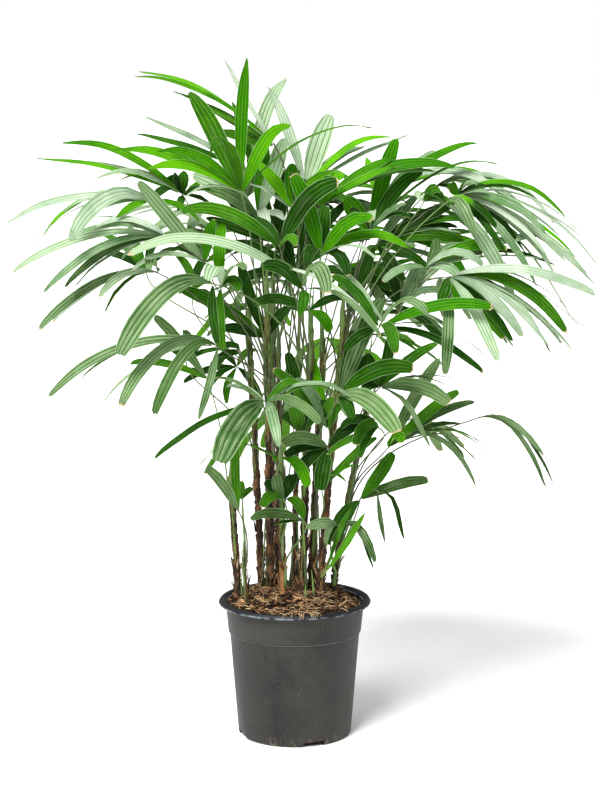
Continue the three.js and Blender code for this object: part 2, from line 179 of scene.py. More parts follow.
class Wiring:
    """A node tree that is built up node by node. An input is a plain value or an earlier output."""

    def __init__(self, tree):
        self.tree = tree

    def feed(self, socket, value):
        if isinstance(value, bpy.types.NodeSocket):
            self.tree.links.new(value, socket)
        else:
            socket.default_value = (*value, 1) if socket.type == "RGBA" else value

    def add(self, kind, inputs=None, **settings):
        """Adds a node with its settings, and feeds its inputs by name or number."""
        made = self.tree.nodes.new(kind)
        for key, value in settings.items():
            setattr(made, key, value)
        for key, value in (inputs or {}).items():
            self.feed(made.inputs[key], value)
        return made

    def band(self, value, low, high, to_low=0.0, to_high=1.0):
        """Stretches the part of a value between low and high over a new range."""
        return self.add("ShaderNodeMapRange", {
            "Value": value, "From Min": low, "From Max": high, "To Min": to_low, "To Max": to_high,
        }).outputs["Result"]

    def maths(self, operation, a, b=0.0):
        return self.add("ShaderNodeMath", {0: a, 1: b}, operation=operation).outputs[0]

    def plus(self, a, b):
        return self.maths("ADD", a, b)

    def times(self, a, b):
        return self.maths("MULTIPLY", a, b)

    def away(self, value, middle):
        """How far a value is from a middle one, either way."""
        return self.maths("ABSOLUTE", self.maths("SUBTRACT", value, middle))

    def axis(self, vector, number):
        return self.add("ShaderNodeSeparateXYZ", {0: vector}).outputs[number]

    def blend(self, share, a, b):
        return self.add("ShaderNodeMix", {0: share, 6: a, 7: b}, data_type="RGBA").outputs[2]


class Finish(Wiring):
    """A new material with a Principled shader, patterned on the coordinates of its piece."""

    def __init__(self, name):
        self.material = bpy.data.materials.new(name)
        self.material.use_nodes = True
        super().__init__(self.material.node_tree)
        self.shader = self.tree.nodes["Principled BSDF"]
        self.at = self.add("ShaderNodeTexCoord").outputs["Object"]

    def speckle(self, scale, detail=3.0, stretch=None):
        """Noise, drawn out along an axis by stretch."""
        at = self.at
        if stretch:
            at = self.add("ShaderNodeMapping", {"Vector": at, "Scale": stretch}).outputs[0]
        return self.add("ShaderNodeTexNoise", {
            "Vector": at, "Scale": scale, "Detail": detail, "Roughness": 0.6,
        }).outputs[0]

    def layered(self, colour, *layers):
        """A colour with others laid over it, each as how much of it shows and the colour."""
        for share, over in layers:
            colour = self.blend(share, colour, over)
        return colour

    def give(self, name, value):
        """Sets or links one of the shader's own inputs."""
        self.feed(self.shader.inputs[name], value)

    def emboss(self, height, depth):
        self.give("Normal", self.add("ShaderNodeBump", {"Height": height, "Distance": depth}).outputs[0])


# Black plastic gone grey with dust and handling, browner where soil has rubbed on its edges.
# The broken bluish line along the lip's outer edge is a painted highlight, and the dark line at the
# step is painted shade.
BLACK_PLASTIC = (0.0058, 0.0062, 0.0056)
FINE_DUST = (0.0275, 0.0270, 0.0225)
THICK_DUST = (0.050, 0.049, 0.040)
CLEAN_LIP = (0.0035, 0.0050, 0.0070)
# painted highlight: the light caught along the lip's outer edge, as a bluish line
LIP_EDGE_HIGHLIGHT = (0.165, 0.195, 0.215)
LEDGE_SHADE = (0.004, 0.004, 0.004)
LEDGE_LINE = (0.110, 0.104, 0.088)
DRIED_SOIL = (0.15, 0.105, 0.065)
SAND_GRAIN = (0.36, 0.33, 0.28)

plastic = Finish("worn_black_plastic")
height = plastic.axis(plastic.at, 2)
cloud = plastic.speckle(9.0, 5.0)
streaks = plastic.speckle(26.0, 4.0, (1, 1, 0.12))
dust = plastic.band(plastic.plus(cloud, plastic.times(streaks, 0.6)), 0.60, 1.00)
above_ledge = plastic.band(height, POT_BAND[1], POT_BAND[1] + 0.004)
blown_in = plastic.times(above_ledge, plastic.band(cloud, 0.45, 0.70))
on_lip = plastic.band(height, POT_BAND_TOP[1] - 0.0015, POT_BAND_TOP[1] - 0.0005)
lip_highlight_band = plastic.band(plastic.away(height, POT_TOP - 0.0062), 0.0024, 0.0008)
patchy = plastic.band(plastic.speckle(70.0, 6.0), 0.45, 0.60)
off_ledge = plastic.away(height, POT_BAND[1] - 0.0006)
broken = plastic.band(plastic.speckle(34.0, 4.0), 0.36, 0.56)
scuffs = plastic.band(plastic.speckle(130.0, 6.0, (1, 1, 0.5)), 0.54, 0.68)
grains = plastic.band(plastic.speckle(520.0, 2.0), 0.69, 0.75)
plastic.give("Base Color", plastic.layered(
    plastic.blend(dust, BLACK_PLASTIC, FINE_DUST),
    (plastic.times(blown_in, 0.35), THICK_DUST),
    (on_lip, CLEAN_LIP),
    # A painted highlight along the outer edge of the lip, broken in patches.
    (plastic.times(lip_highlight_band, patchy), LIP_EDGE_HIGHLIGHT),
    (plastic.times(plastic.band(off_ledge, 0.0030, 0.0016), 0.7), LEDGE_SHADE),
    (plastic.times(plastic.band(off_ledge, 0.0013, 0.0004), broken), LEDGE_LINE),
    (plastic.times(scuffs, plastic.band(height, 0.020, 0.002)), DRIED_SOIL),
    (plastic.times(grains, 0.6), SAND_GRAIN),
))
plastic.give("Roughness", plastic.band(dust, 0, 1, 0.44, 0.66))
plastic.give("Specular IOR Level", 0.30)
plastic.emboss(plastic.plus(plastic.speckle(900.0, 2.0), plastic.times(streaks, 1.5)), 0.00012)
pot.data.materials.append(plastic.material)

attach(pot, "root")
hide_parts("pot")


# ---- Potting mix --------------------------------------------------------------------------------
# Shredded bark and coir, filled to just under the lip and heaped up where the canes stand. The
# surface is a crust of chips and fibres, with paler straws that lie about on it and over the lip.

MIX_RADIUS = POT_BAND_TOP[0] - POT_WALL - 0.0012
MIX_RINGS = 44
MIX_SECTORS = 112
CROWN_HEIGHT = 0.2645               # of the heap in the middle
EDGE_HEIGHT = 0.2450                # at the wall
HOLLOW_TURN = math.radians(42)      # at the back, to the right, the mix has sunk
HOLLOW_DEPTH = 0.013
CHIPS = 3400
CHIP_LENGTHS, CHIP_WIDTHS = (0.007, 0.028), (0.0006, 0.0023)
BARK_FLAKES = 420
FLAKE_LENGTHS, FLAKE_WIDTHS = (0.006, 0.015), (0.003, 0.0065)
STRAWS = 150
STRAW_LENGTHS, STRAW_WIDTHS = (0.018, 0.046), (0.0005, 0.0010)
SWEPT_STRAWS = 12                   # over the lip at the front, between two turns in degrees
SWEPT_TURNS, SWEPT_WIDTHS = (-100, -44), (0.0006, 0.0011)


def smooth_step(low, high, value):
    t = min(1.0, max(0.0, (value - low) / (high - low)))
    return t * t * (3 - 2 * t)


def ground(x, y):
    """How high the top of the mix is."""
    out = math.hypot(x, y)
    hollow = HOLLOW_DEPTH * max(0.0, math.cos(math.atan2(y, x) - HOLLOW_TURN)) ** 3
    edge = EDGE_HEIGHT - hollow * smooth_step(0.085, 0.115, out)
    heaped = smooth_step(MIX_RADIUS, 0.045, out)
    lumps = 0.0026 * noise.noise((x * 55, y * 55, 0.3)) + 0.0016 * noise.noise((x * 140, y * 140, 4.1))
    return edge + (CROWN_HEIGHT - EDGE_HEIGHT) * heaped + lumps


class Heap:
    """Many small pieces gathered into one mesh, each with the number of its own finish."""

    def __init__(self):
        self.points, self.faces, self.tones, self.marks = [], [], [], []

    def add(self, points, faces, tone=0, marks=None):
        start = len(self.points)
        self.points.extend(points)
        self.faces.extend([tuple(start + i for i in face) for face in faces])
        self.tones.extend(tone if isinstance(tone, list) else [tone] * len(faces))
        self.marks.extend(marks if marks is not None else [(0.0, 0.0, 0.0, 0.0)] * len(points))

    def rod(self, path, widths, flat, sides, roll=0.0, tone=0):
        """Adds a closed rod along a path, an oval in section: a width across, and flat times that deep."""
        points, side, last = [], None, len(path) - 1
        for i, (centre, width) in enumerate(zip(path, widths)):
            run = (path[min(i + 1, last)] - path[max(i - 1, 0)]).normalized()
            if side is None:
                side = run.cross(Vector((0, 0, 1)))
                side = side if side.length > 0.05 else run.cross(Vector((1, 0, 0)))
            side = (side - run * side.dot(run)).normalized()
            over = run.cross(side)
            for k in range(sides):
                turn = math.tau * k / sides
                a, b = width * math.cos(turn) / 2, flat * width * math.sin(turn) / 2
                across = a * math.cos(roll) - b * math.sin(roll)
                up = a * math.sin(roll) + b * math.cos(roll)
                points.append(centre + side * across + over * up)
        faces = [
            (i + k, i + (k + 1) % sides, i + sides + (k + 1) % sides, i + sides + k)
            for i in range(0, last * sides, sides) for k in range(sides)
        ]
        faces.append(tuple(reversed(range(sides))))
        faces.append(tuple(last * sides + k for k in range(sides)))
        self.add(points, faces, tone)

    def piece(self, name, finishes, slot, *replaced, crease=None):
        """The mesh as an object that rides on the root body, with its marks as a UV map and a tint.

        Folds sharper than crease degrees stay crisp.
        """
        mesh = bpy.data.meshes.new(name)
        mesh.from_pydata(self.points, [], self.faces)
        mesh.polygons.foreach_set("material_index", self.tones)
        mesh.polygons.foreach_set("use_smooth", [True] * len(self.faces))
        if crease:
            mesh.set_sharp_from_angle(angle=math.radians(crease))
        marks = np.array(self.marks, dtype=np.float32)
        corners = np.empty(len(mesh.loops), dtype=np.int32)
        mesh.loops.foreach_get("vertex_index", corners)
        mesh.uv_layers.new(name="blade").data.foreach_set("uv", marks[corners, :2].ravel())
        for key, column in (("tint", 2), ("fold", 3)):
            mesh.attributes.new(key, "FLOAT", "POINT").data.foreach_set("value", marks[:, column].copy())
        for each in finishes:
            mesh.materials.append(each.material)
        made = bpy.data.objects.new(name, mesh)
        bpy.context.scene.collection.objects.link(made)
        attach(made, "root")
        if replaced:
            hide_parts(*replaced)


# The fill itself: the top is a fan of rings, and the side follows the inside of the pot.
rings = [(MIX_RADIUS * (i + 1) / MIX_RINGS, None) for i in range(MIX_RINGS)]
rings += [
    (POT_BAND[0] - POT_WALL - 0.0006, POT_BAND[1]),
    (POT_LEDGE[0] - POT_WALL - 0.0006, POT_LEDGE[1]),
    (POT_FOOT_RADIUS - POT_WALL - 0.0035, POT_WALL + POT_RECESS + 0.0008),
]
points = [(0, 0, ground(0, 0))]
for radius, level in rings:
    for k in range(MIX_SECTORS):
        turn = math.tau * k / MIX_SECTORS
        x, y = radius * math.cos(turn), radius * math.sin(turn)
        points.append((x, y, ground(x, y) if level is None else level))
points.append((0, 0, rings[-1][1]))
last = 1 + (len(rings) - 1) * MIX_SECTORS
around = [(k, (k + 1) % MIX_SECTORS) for k in range(MIX_SECTORS)]
faces = [(0, 1 + k, 1 + on) for k, on in around]
for a in range(1, last, MIX_SECTORS):
    b = a + MIX_SECTORS
    faces += [(a + k, b + k, b + on, a + on) for k, on in around]
faces += [(last + on, last + k, len(points) - 1) for k, on in around]
fill = Heap()
fill.add(points, faces)


def crumbly(name, dark, light, scale):
    """Dull plant fibre, darker and lighter along its grain."""
    made = Finish(name)
    patches = made.band(made.speckle(scale, 4.0), 0.35, 0.65)
    grain = made.speckle(scale * 6, 3.0)
    along_grain = made.blend(grain, (0, 0, 0), light)
    made.give("Base Color", made.layered(dark, (patches, light), (0.35, along_grain)))
    made.give("Roughness", 0.85)
    made.give("Specular IOR Level", 0.2)
    made.emboss(grain, 0.0004)
    return made


# Near-black fill and chips: the dark of the compost, and painted shade in the gaps of the crust.
mix_dark_and_shade = crumbly("dark_mix_and_gap_shade", (0.006, 0.003, 0.002), (0.040, 0.019, 0.010), 160)
chip_brown = crumbly("brown_chip", (0.045, 0.020, 0.009), (0.230, 0.108, 0.047), 90)
chip_rust = crumbly("rust_fibre", (0.280, 0.125, 0.048), (0.800, 0.470, 0.230), 90)
straw_pale = crumbly("pale_straw", (0.600, 0.400, 0.200), (0.920, 0.700, 0.420), 60)

chance = random.Random(41)          # each section seeds its own
litter = Heap()


def either(choices, weights):
    """One of some choices, drawn by weight from the chance of the moment."""
    return chance.choices(choices, weights)[0]


def spot_on_mix(reach):
    out = reach * math.sqrt(chance.random())
    turn = chance.uniform(0, math.tau)
    return out * math.cos(turn), out * math.sin(turn)


def lying(x, y, length, heading, tilt, bend, lift):
    """A path of three points that follows the top of the mix, tilted a little out of it."""
    along = Vector((math.cos(heading), math.sin(heading), 0))
    across = Vector((-along.y, along.x, 0))
    path = []
    for t in (-0.5, 0, 0.5):
        p = Vector((x, y, 0)) + along * (t * length) + across * (bend * (0.25 - t * t))
        p.z = ground(x, y) + lift + t * length * math.sin(tilt)
        path.append(p)
    return path


for i in range(CHIPS):
    x, y = spot_on_mix(MIX_RADIUS - 0.004)
    length = chance.uniform(*CHIP_LENGTHS)
    room = MIX_RADIUS + 0.001 - math.hypot(x, y)
    heading = chance.uniform(0, math.tau)
    if room < length / 2:
        heading = math.atan2(y, x) + math.pi / 2 + chance.uniform(-0.4, 0.4)
    bend, lift = chance.uniform(-0.006, 0.006), chance.uniform(-0.001, 0.0055)
    path = lying(x, y, length, heading, chance.gauss(0, 0.36), bend, lift)
    width = chance.uniform(*CHIP_WIDTHS)
    # Low-lying chips, and most in dark patches, take the near-black tone: painted shade in the hollows.
    in_dark_patch = noise.noise((x * 85, y * 85, 7.7)) > 0.04
    tone = either((0, 1, 2, 3), (10, 2, 1, 0) if in_dark_patch or lift < 0.001 else (4, 2, 5, 3))
    flat = chance.uniform(0.35, 0.8)
    litter.rod(path, (width * 0.5, width, width * 0.4), flat, 4, roll=chance.uniform(0, 3), tone=tone)

for i in range(BARK_FLAKES):
    x, y = spot_on_mix(MIX_RADIUS - 0.010)
    length = chance.uniform(*FLAKE_LENGTHS)
    heading, tilt = chance.uniform(0, math.tau), chance.gauss(0, 0.35)
    path = lying(x, y, length, heading, tilt, 0.001, chance.uniform(0, 0.003))
    width = chance.uniform(*FLAKE_WIDTHS)
    roll = chance.gauss(0, 0.5)
    litter.rod(path, (width * 0.6, width, width * 0.5), 0.3, 6, roll, either((0, 1, 2), (6, 3, 1)))

for i in range(STRAWS):
    x, y = spot_on_mix(MIX_RADIUS - 0.012)
    length = chance.uniform(*STRAW_LENGTHS)
    heading = chance.uniform(0, math.tau)
    if math.hypot(x, y) > MIX_RADIUS - 0.03:
        heading = math.atan2(y, x) + math.pi / 2 + chance.uniform(-0.5, 0.5)
    path = lying(x, y, length, heading, chance.gauss(0, 0.2), chance.uniform(-0.012, 0.012), 0.0035)
    width = chance.uniform(*STRAW_WIDTHS)
    litter.rod(path, (width, width, width * 0.5), 0.7, 4, tone=either((2, 3), (1, 3)))

for i in range(SWEPT_STRAWS):
    turn = math.radians(chance.uniform(*SWEPT_TURNS))
    out = Vector((math.cos(turn), math.sin(turn), 0))
    aside = Vector((-out.y, out.x, 0)) * chance.uniform(-0.008, 0.008)
    hang = chance.uniform(0.001, 0.006)
    path = [
        out * (MIX_RADIUS - 0.024) - aside + Vector((0, 0, EDGE_HEIGHT + 0.004)),
        out * (MIX_RADIUS - 0.004) + Vector((0, 0, POT_TOP + 0.0015)),
        out * (LIP_RADIUS - 0.006) + aside * 0.7 + Vector((0, 0, POT_TOP + 0.0012)),
        out * (LIP_RADIUS + 0.0008) + aside + Vector((0, 0, POT_TOP - hang)),
    ]
    width = chance.uniform(*SWEPT_WIDTHS)
    litter.rod(path, (width, width, width, width * 0.4), 0.8, 4, tone=either((2, 3), (1, 2)))

fill.piece("potting_fill", [mix_dark_and_shade], "mix", "potting_mix")
litter.piece("bark_and_coir", [mix_dark_and_shade, chip_brown, chip_rust, straw_pale], "mix")


# ---- Canes --------------------------------------------------------------------------------------
# Green reeds as thick as a finger, wrapped in the dark woven fibre of old leaf sheaths that overlap
# like scales. They stand in the mix, taper upwards and lean out from the middle of the clump.

CANE_SIDES = 18
CANE_STEP = 0.0026                  # from one ring to the next
CANE_ROOTED = 0.016                 # how far it goes on down into the mix
CANE_FLARE = 0.28                   # how much wider it is at the ground, as a share
SHEATH_SPACING = 0.026              # from the edge of one sheath to the next
SHEATH_PROUD = 0.0024               # how far an edge stands off
REED_SLIMMER = 0.0013               # the reed inside its sheaths is thinner than the whole by this
BARE_FEET = {"cane_06": 0.060, "cane_02": 0.045}     # how far up these have shed their sheaths
FIBRES_PER_METRE = 330
SHEATH_TIPS_PER_METRE = 9
SPLINTERS = 16                      # round the foot of each cane
cane_names = sorted(name for name in nodes if name.startswith("cane_"))


def welded(name):
    """A copy of a frame node's mesh with its loose triangles joined."""
    joined = bmesh.new()
    joined.from_mesh(nodes[name].data)
    bmesh.ops.remove_doubles(joined, verts=joined.verts, dist=1e-4)
    joined.verts.index_update()
    joined.verts.ensure_lookup_table()
    return joined


class Cane:
    """The middle line and the thickness of one cane of the frame."""

    def __init__(self, name):
        mesh = welded(name)
        levels = {}
        for v in mesh.verts:
            levels.setdefault(round(v.co.z, 4), []).append(v.co.copy())
        mesh.free()
        self.heights = sorted(levels)
        centres = [sum(levels[z], Vector()) / len(levels[z]) for z in self.heights]
        self.radii = [max((p - c).length for p in levels[z]) for z, c in zip(self.heights, centres)]
        self.line_x = np.polyfit(self.heights, [c.x for c in centres], 3)
        self.line_y = np.polyfit(self.heights, [c.y for c in centres], 3)
        self.foot, self.top = self.heights[0], self.heights[-1]

    def middle(self, z):
        return Vector((np.polyval(self.line_x, z), np.polyval(self.line_y, z), z))

    def radius(self, z):
        return float(np.interp(z, self.heights[1:], self.radii[1:]))

    def side(self, z, turn, proud):
        """A point that stands proud of its surface by so much."""
        reach = self.radius(z) + proud
        return self.middle(z) + Vector((math.cos(turn), math.sin(turn), 0)) * reach


canes = {name: Cane(name) for name in cane_names}


def sheathed(cane, z, turn, seed):
    """How far the sheaths and their fibres stand off the reed there, and whether green shows."""
    up = (z - cane.foot) / (cane.top - cane.foot)
    slant = 0.20 * math.sin(turn - 2.4 * math.floor(z / SHEATH_SPACING) - seed)
    frayed = 0.34 * noise.noise((5 * math.cos(turn), 5 * math.sin(turn), z * 40 + seed))
    uneven = 0.9 * noise.noise((seed, 2.0, z * 16))
    share = (z / SHEATH_SPACING + slant + frayed + uneven) % 1.0
    scale = SHEATH_PROUD * (share ** 1.5) * (1.15 - 0.5 * up)
    fibre = noise.noise((3.2 * math.cos(turn) + seed, 3.2 * math.sin(turn), z * 26))
    fine = noise.noise((9 * math.cos(turn) + seed, 9 * math.sin(turn), z * 90))
    relief = scale + 0.0006 * fibre + 0.00045 * fine
    bare = noise.noise((1.3 * math.cos(turn), 1.3 * math.sin(turn), z * 9 + 3 * seed)) + 1.1 * up - 0.62
    return relief, bare > 0.12


def cane_bark(name, dark, light, warm):
    """Woven sheath fibre: upright strands, dark between them."""
    made = Finish(name)
    strands = made.speckle(420.0, 4.0, (1, 1, 0.12))
    patches = made.band(made.speckle(75.0, 5.0, (1, 1, 0.45)), 0.52, 0.62)
    made.give("Base Color", made.layered(
        dark, (made.band(strands, 0.40, 0.62), light), (made.times(patches, strands), warm)))
    made.give("Roughness", made.band(strands, 0.3, 0.7, 0.9, 0.62))
    made.give("Specular IOR Level", 0.3)
    made.emboss(strands, 0.0007)
    return made


sheath_dark, reed_green, bare_reed, sheath_pale = (cane_bark(*each) for each in (
    ("dark_sheath_fibre", (0.005, 0.003, 0.002), (0.075, 0.040, 0.018), (0.340, 0.150, 0.055)),
    ("green_reed", (0.036, 0.062, 0.012), (0.170, 0.260, 0.055), (0.150, 0.095, 0.036)),
    ("bare_tan_reed", (0.160, 0.070, 0.022), (0.420, 0.200, 0.070), (0.300, 0.150, 0.060)),
    ("pale_sheath_tip", (0.260, 0.180, 0.095), (0.520, 0.400, 0.240), (0.330, 0.220, 0.120)),
))

for number, name in enumerate(cane_names, 1):
    cane = canes[name]
    start, end = cane.foot - CANE_ROOTED, cane.top + 0.010
    shed = cane.foot + BARE_FEET.get(name, -1)
    count = int((end - start) / CANE_STEP)
    points, kinds = [], []
    for i in range(count + 1):
        z = start + (end - start) * i / count
        closing = 1 - 0.65 * smooth_step(cane.top - 0.004, end, z)
        for k in range(CANE_SIDES):
            turn = math.tau * k / CANE_SIDES
            relief, green = sheathed(cane, z, turn, number)
            relief *= 0.25 if z < shed else 1
            reach = (cane.radius(z) - REED_SLIMMER + relief) * closing
            reach *= 1 + CANE_FLARE * smooth_step(cane.foot + 0.012, cane.foot, z)
            points.append(cane.middle(z) + Vector((math.cos(turn), math.sin(turn), 0)) * reach)
            kinds.append(2 if z < shed else int(green))
    last = count * CANE_SIDES
    around = [(k, (k + 1) % CANE_SIDES) for k in range(CANE_SIDES)]
    faces = []
    for a in range(0, last, CANE_SIDES):
        b = a + CANE_SIDES
        faces += [(a + k, a + on, b + on, b + k) for k, on in around]
    points += [cane.middle(start), cane.middle(end + 0.003)]
    for k, on in around:
        faces += [(on, k, len(points) - 2), (last + k, last + on, len(points) - 1)]
    reed = Heap()
    reed.add(points, faces, kinds[:last] + [0] * 2 * CANE_SIDES)
    reed.piece(f"reed_{number:02d}", [sheath_dark, reed_green, bare_reed], "cane", name)

# Loose sheath fibres that stand off the canes like coarse hair, the dry tips of old sheaths, and at
# the foot the oldest sheaths, split into stiff rusty splinters.
hairs = Heap()
chance = random.Random(77)
for name in cane_names:
    cane = canes[name]
    for i in range(int(FIBRES_PER_METRE * (cane.top - cane.foot))):
        z = chance.uniform(cane.foot, cane.top - 0.01)
        turn = chance.uniform(0, math.tau)
        length = chance.uniform(0.006, 0.019)
        rise = chance.choice((1, 1, 1, -1)) * length
        swing = chance.uniform(-0.7, 0.7)
        off = chance.uniform(0.0008, 0.0042)
        path = [
            cane.side(z, turn, 0.0),
            cane.side(z + rise * 0.5, turn + swing * 0.4, 0.0010 + off * 0.3),
            cane.side(z + rise, turn + swing, 0.0010 + off),
        ]
        width = chance.uniform(0.0003, 0.0007)
        hairs.rod(path, (width, width * 0.8, width * 0.3), 1.0, 3, tone=either((0, 1), (6, 1)))
    for i in range(3 + int(SHEATH_TIPS_PER_METRE * (cane.top - cane.foot))):
        z = chance.uniform(cane.foot + 0.02, cane.top - 0.02)
        turn = chance.uniform(0, math.tau)
        length = chance.uniform(0.016, 0.036)
        off = chance.uniform(0.002, 0.007)
        path = [cane.side(z + length * t, turn + 0.2 * t, off * t * t) for t in (0, 0.35, 0.7, 1)]
        width = chance.uniform(0.0035, 0.0060)
        widths = (width, width * 0.9, width * 0.5, width * 0.1)
        hairs.rod(path, widths, 0.22, 6, math.pi / 2, either((0, 1), (2, 3)))
    for i in range(SPLINTERS):
        z = cane.foot + chance.uniform(0.0, 0.055)
        turn = chance.uniform(0, math.tau)
        length = chance.uniform(0.014, 0.034)
        off = chance.uniform(0.003, 0.011)
        path = [cane.side(z + length * t, turn + 0.15 * t, off * t - 0.001) for t in (0, 0.4, 0.75, 1)]
        width = chance.uniform(0.0016, 0.0042)
        widths = (width, width * 0.8, width * 0.5, width * 0.1)
        hairs.rod(path, widths, 0.3, 5, math.pi / 2, either((0, 1, 2), (4, 1, 3)))
hairs.piece("sheath_fibres", [sheath_dark, sheath_pale, chip_rust], "cane")


# ---- Frond stalks -------------------------------------------------------------------------------
# Smooth green petioles, flat-backed and as thick as a knitting needle. Each clasps its cane with a
# strip of sheath, arches out of the clump and ends in the small knob that the fan opens from.

STALK_STEPS = 15
STALK_SIDES = 8
SHEATH_STRIP = 0.045                # how far the clasping foot runs down the cane
FINGER_STEP = 25                    # degrees from one finger of a fan to the next
USUAL_FINGER = (0.205, 0.031)       # the length and width of a full finger
STATIONS = (0, 0.36, 0.68, 1)       # where the middle line of a finger is fixed
UP = Vector((0, 0, 1))
FRONT = Vector((0, -1, 0))
frond_names = sorted(name for name in nodes if name.startswith("frond_"))


class Finger:
    """The middle line of one finger at four stations, its direction across at each, its width and green."""

    def __init__(self, middles, acrosses, width, green=None):
        self.middles, self.acrosses, self.width, self.green = middles, acrosses, width, green


def lead_of(hub, fingers):
    """The direction that a fan points in from its hub."""
    return sum(((f.middles[1] - hub).normalized() for f in fingers), Vector()).normalized()


class Frond:
    """A stalk as a row of points from cane to knob, the fan's hub, and its fingers."""

    def __init__(self, cane_name, stalk, hub, fingers):
        self.cane_name, self.stalk, self.hub, self.fingers = cane_name, stalk, hub, fingers
        lead = lead_of(hub, fingers)
        self.turn = math.degrees(math.atan2(lead.y, lead.x))
        self.lift = math.degrees(math.asin(lead.z))
        self.length = max((f.middles[3] - hub).length for f in fingers)


def cubic_through(times, points):
    """The cubic through four points, as the numbers that np.polyval takes, one column per axis."""
    return np.linalg.solve(np.vander(times, 4), np.array(points, dtype=float))


def along_cubic(cubic, t):
    return np.stack([np.polyval(cubic[:, k], t) for k in range(3)], axis=-1)


def nearest_cane(point):
    """The name of the cane whose side is nearest to a point."""
    def gap(name):
        cane = canes[name]
        z = min(max(point.z, cane.foot), cane.top)
        return (cane.middle(z) - point).length - cane.radius(z)
    return min(cane_names, key=gap)


def section(corners):
    """The middle, the direction across, the width and the upper side of a three-cornered section."""
    sides = [(corners[(k + 1) % 3] - corners[(k + 2) % 3]).length for k in range(3)]
    keel = sides.index(max(sides))
    a, b = corners[(keel + 1) % 3], corners[(keel + 2) % 3]
    middle = (a + b) / 2
    return middle, (b - a).normalized(), (b - a).length, (middle - corners[keel]).normalized()


def unfold(name):
    """Reads a frame frond, layer by layer from the foot of its stalk to the tips of its fingers.

    Its first four layers are the stalk, the fifth is where the fingers leave it, and three more
    run along the fingers.
    """
    mesh = welded(name)
    ends = [f for f in mesh.faces if all(len(v.link_edges) == 4 for v in f.verts)]
    foot = min(ends, key=lambda f: f.calc_perimeter())
    layers, seen = [sorted(foot.verts, key=lambda v: v.index)], set(foot.verts)
    while layers[-1]:
        beyond = {e.other_vert(v) for v in layers[-1] for e in v.link_edges} - seen
        seen |= beyond
        layers.append(sorted(beyond, key=lambda v: v.index))
    knots = [sum((v.co for v in layer), Vector()) / 3 for layer in layers[:4]]
    line = cubic_through((0, 0.33, 0.66, 1), knots)
    stalk = [Vector(p) for p in along_cubic(line, np.linspace(0, 1, STALK_STEPS))]
    fingers, left = [], set(layers[5])
    for v in layers[5]:
        if v not in left:
            continue
        near = {v} | {e.other_vert(v) for e in v.link_edges if e.other_vert(v) in left}
        left -= near
        rings = [{e.other_vert(w) for w in near for e in w.link_edges} & set(layers[4]), near]
        for layer in (layers[6], layers[7]):
            rings.append({e.other_vert(w) for w in rings[-1] for e in w.link_edges} & set(layer))
        sections = [section([w.co.copy() for w in sorted(r, key=lambda w: w.index)]) for r in rings]
        middles = [knots[3]] + [s[0] for s in sections[1:]]
        acrosses = []
        for k, (_, across, _, above) in enumerate(sections):
            run = middles[min(k + 1, 3)] - middles[max(k, 1) - 1]
            acrosses.append(across if across.cross(run).dot(above) > 0 else -across)
        fingers.append(Finger(middles, acrosses, sections[1][2]))
    mesh.free()
    return Frond(nearest_cane(stalk[0]), stalk, knots[3], fingers)


def pointing(turn, lift):
    turn, lift = math.radians(turn), math.radians(lift)
    return Vector((math.cos(lift) * math.cos(turn), math.cos(lift) * math.sin(turn), math.sin(lift)))


def bezier(a, b, c, d, t):
    s = 1 - t
    return a * s ** 3 + b * 3 * s * s * t + c * 3 * s * t * t + d * t ** 3


def stalk_to(cane_name, hub, lead, chance):
    """The points of a petiole from the side of a cane to a hub, where it arrives along lead."""
    cane = canes[cane_name]
    top = cane.middle(cane.top)
    out = Vector((hub.x - top.x, hub.y - top.y, 0))
    level = min(cane.top - chance.uniform(0.012, 0.15), hub.z - 0.06 - 0.55 * out.length)
    level = max(cane.foot + 0.03, level)
    core = cane.middle(level)
    out = Vector((hub.x - core.x, hub.y - core.y, 0)).normalized()
    span = (hub - core).length
    start = core + out * cane.radius(level)
    bow = Vector((-out.y, out.x, 0)) * chance.uniform(-0.02, 0.02)
    leave = start + UP * span * 0.36 + out * span * 0.1 + bow
    arrive = hub - (lead + UP * 0.35).normalized() * span * 0.3 + bow
    return [bezier(start, leave, arrive, hub, t) for t in np.linspace(0, 1, STALK_STEPS)]


def grown(cane_name, hub, turn, lift, length, chance):
    """A frond by the plant's own rule: a stalk from the side of its cane, and fingers that droop."""
    middle = pointing(turn, lift)
    left = Vector((-math.sin(math.radians(turn)), math.cos(math.radians(turn)), 0))
    normal = middle.cross(left)
    count = min(8, max(3, round(0.8 + length / 0.038)))
    full = chance.uniform(0.86, 1.06) * USUAL_FINGER[1] * min(1.08, 0.3 + 0.7 * length / USUAL_FINGER[0])
    fingers = []
    for i in range(count):
        off = abs(i + 0.5 - count / 2) / (count / 2)
        angle = math.radians(FINGER_STEP * (count / 2 - i - 0.5) + chance.uniform(-7, 7))
        along = middle * math.cos(angle) + left * math.sin(angle)
        along = (along + normal * math.tan(math.radians(chance.uniform(-9, 9)))).normalized()
        reach = length * (chance.uniform(0.86, 1.02) - 0.2 * off * off)
        droop = (chance.uniform(0.45, 0.95) + 0.25 * off) * math.sqrt(1 - along.z ** 2)
        twist = math.tan(math.radians(chance.uniform(-16, 16)))
        middles, acrosses = [], []
        for share in STATIONS:
            sag = droop * share * reach / length
            run = (along - UP * sag).normalized()
            across = left * math.cos(angle) - middle * math.sin(angle) + normal * twist
            middles.append(hub + along * share * reach - UP * 0.5 * sag * share * reach)
            acrosses.append(-(across - run * across.dot(run)).normalized())
        width = full * (chance.uniform(0.86, 1.1) - 0.28 * off * off)
        fingers.append(Finger(middles, acrosses, width))
    return Frond(cane_name, stalk_to(cane_name, hub, middle, chance), hub, fingers)


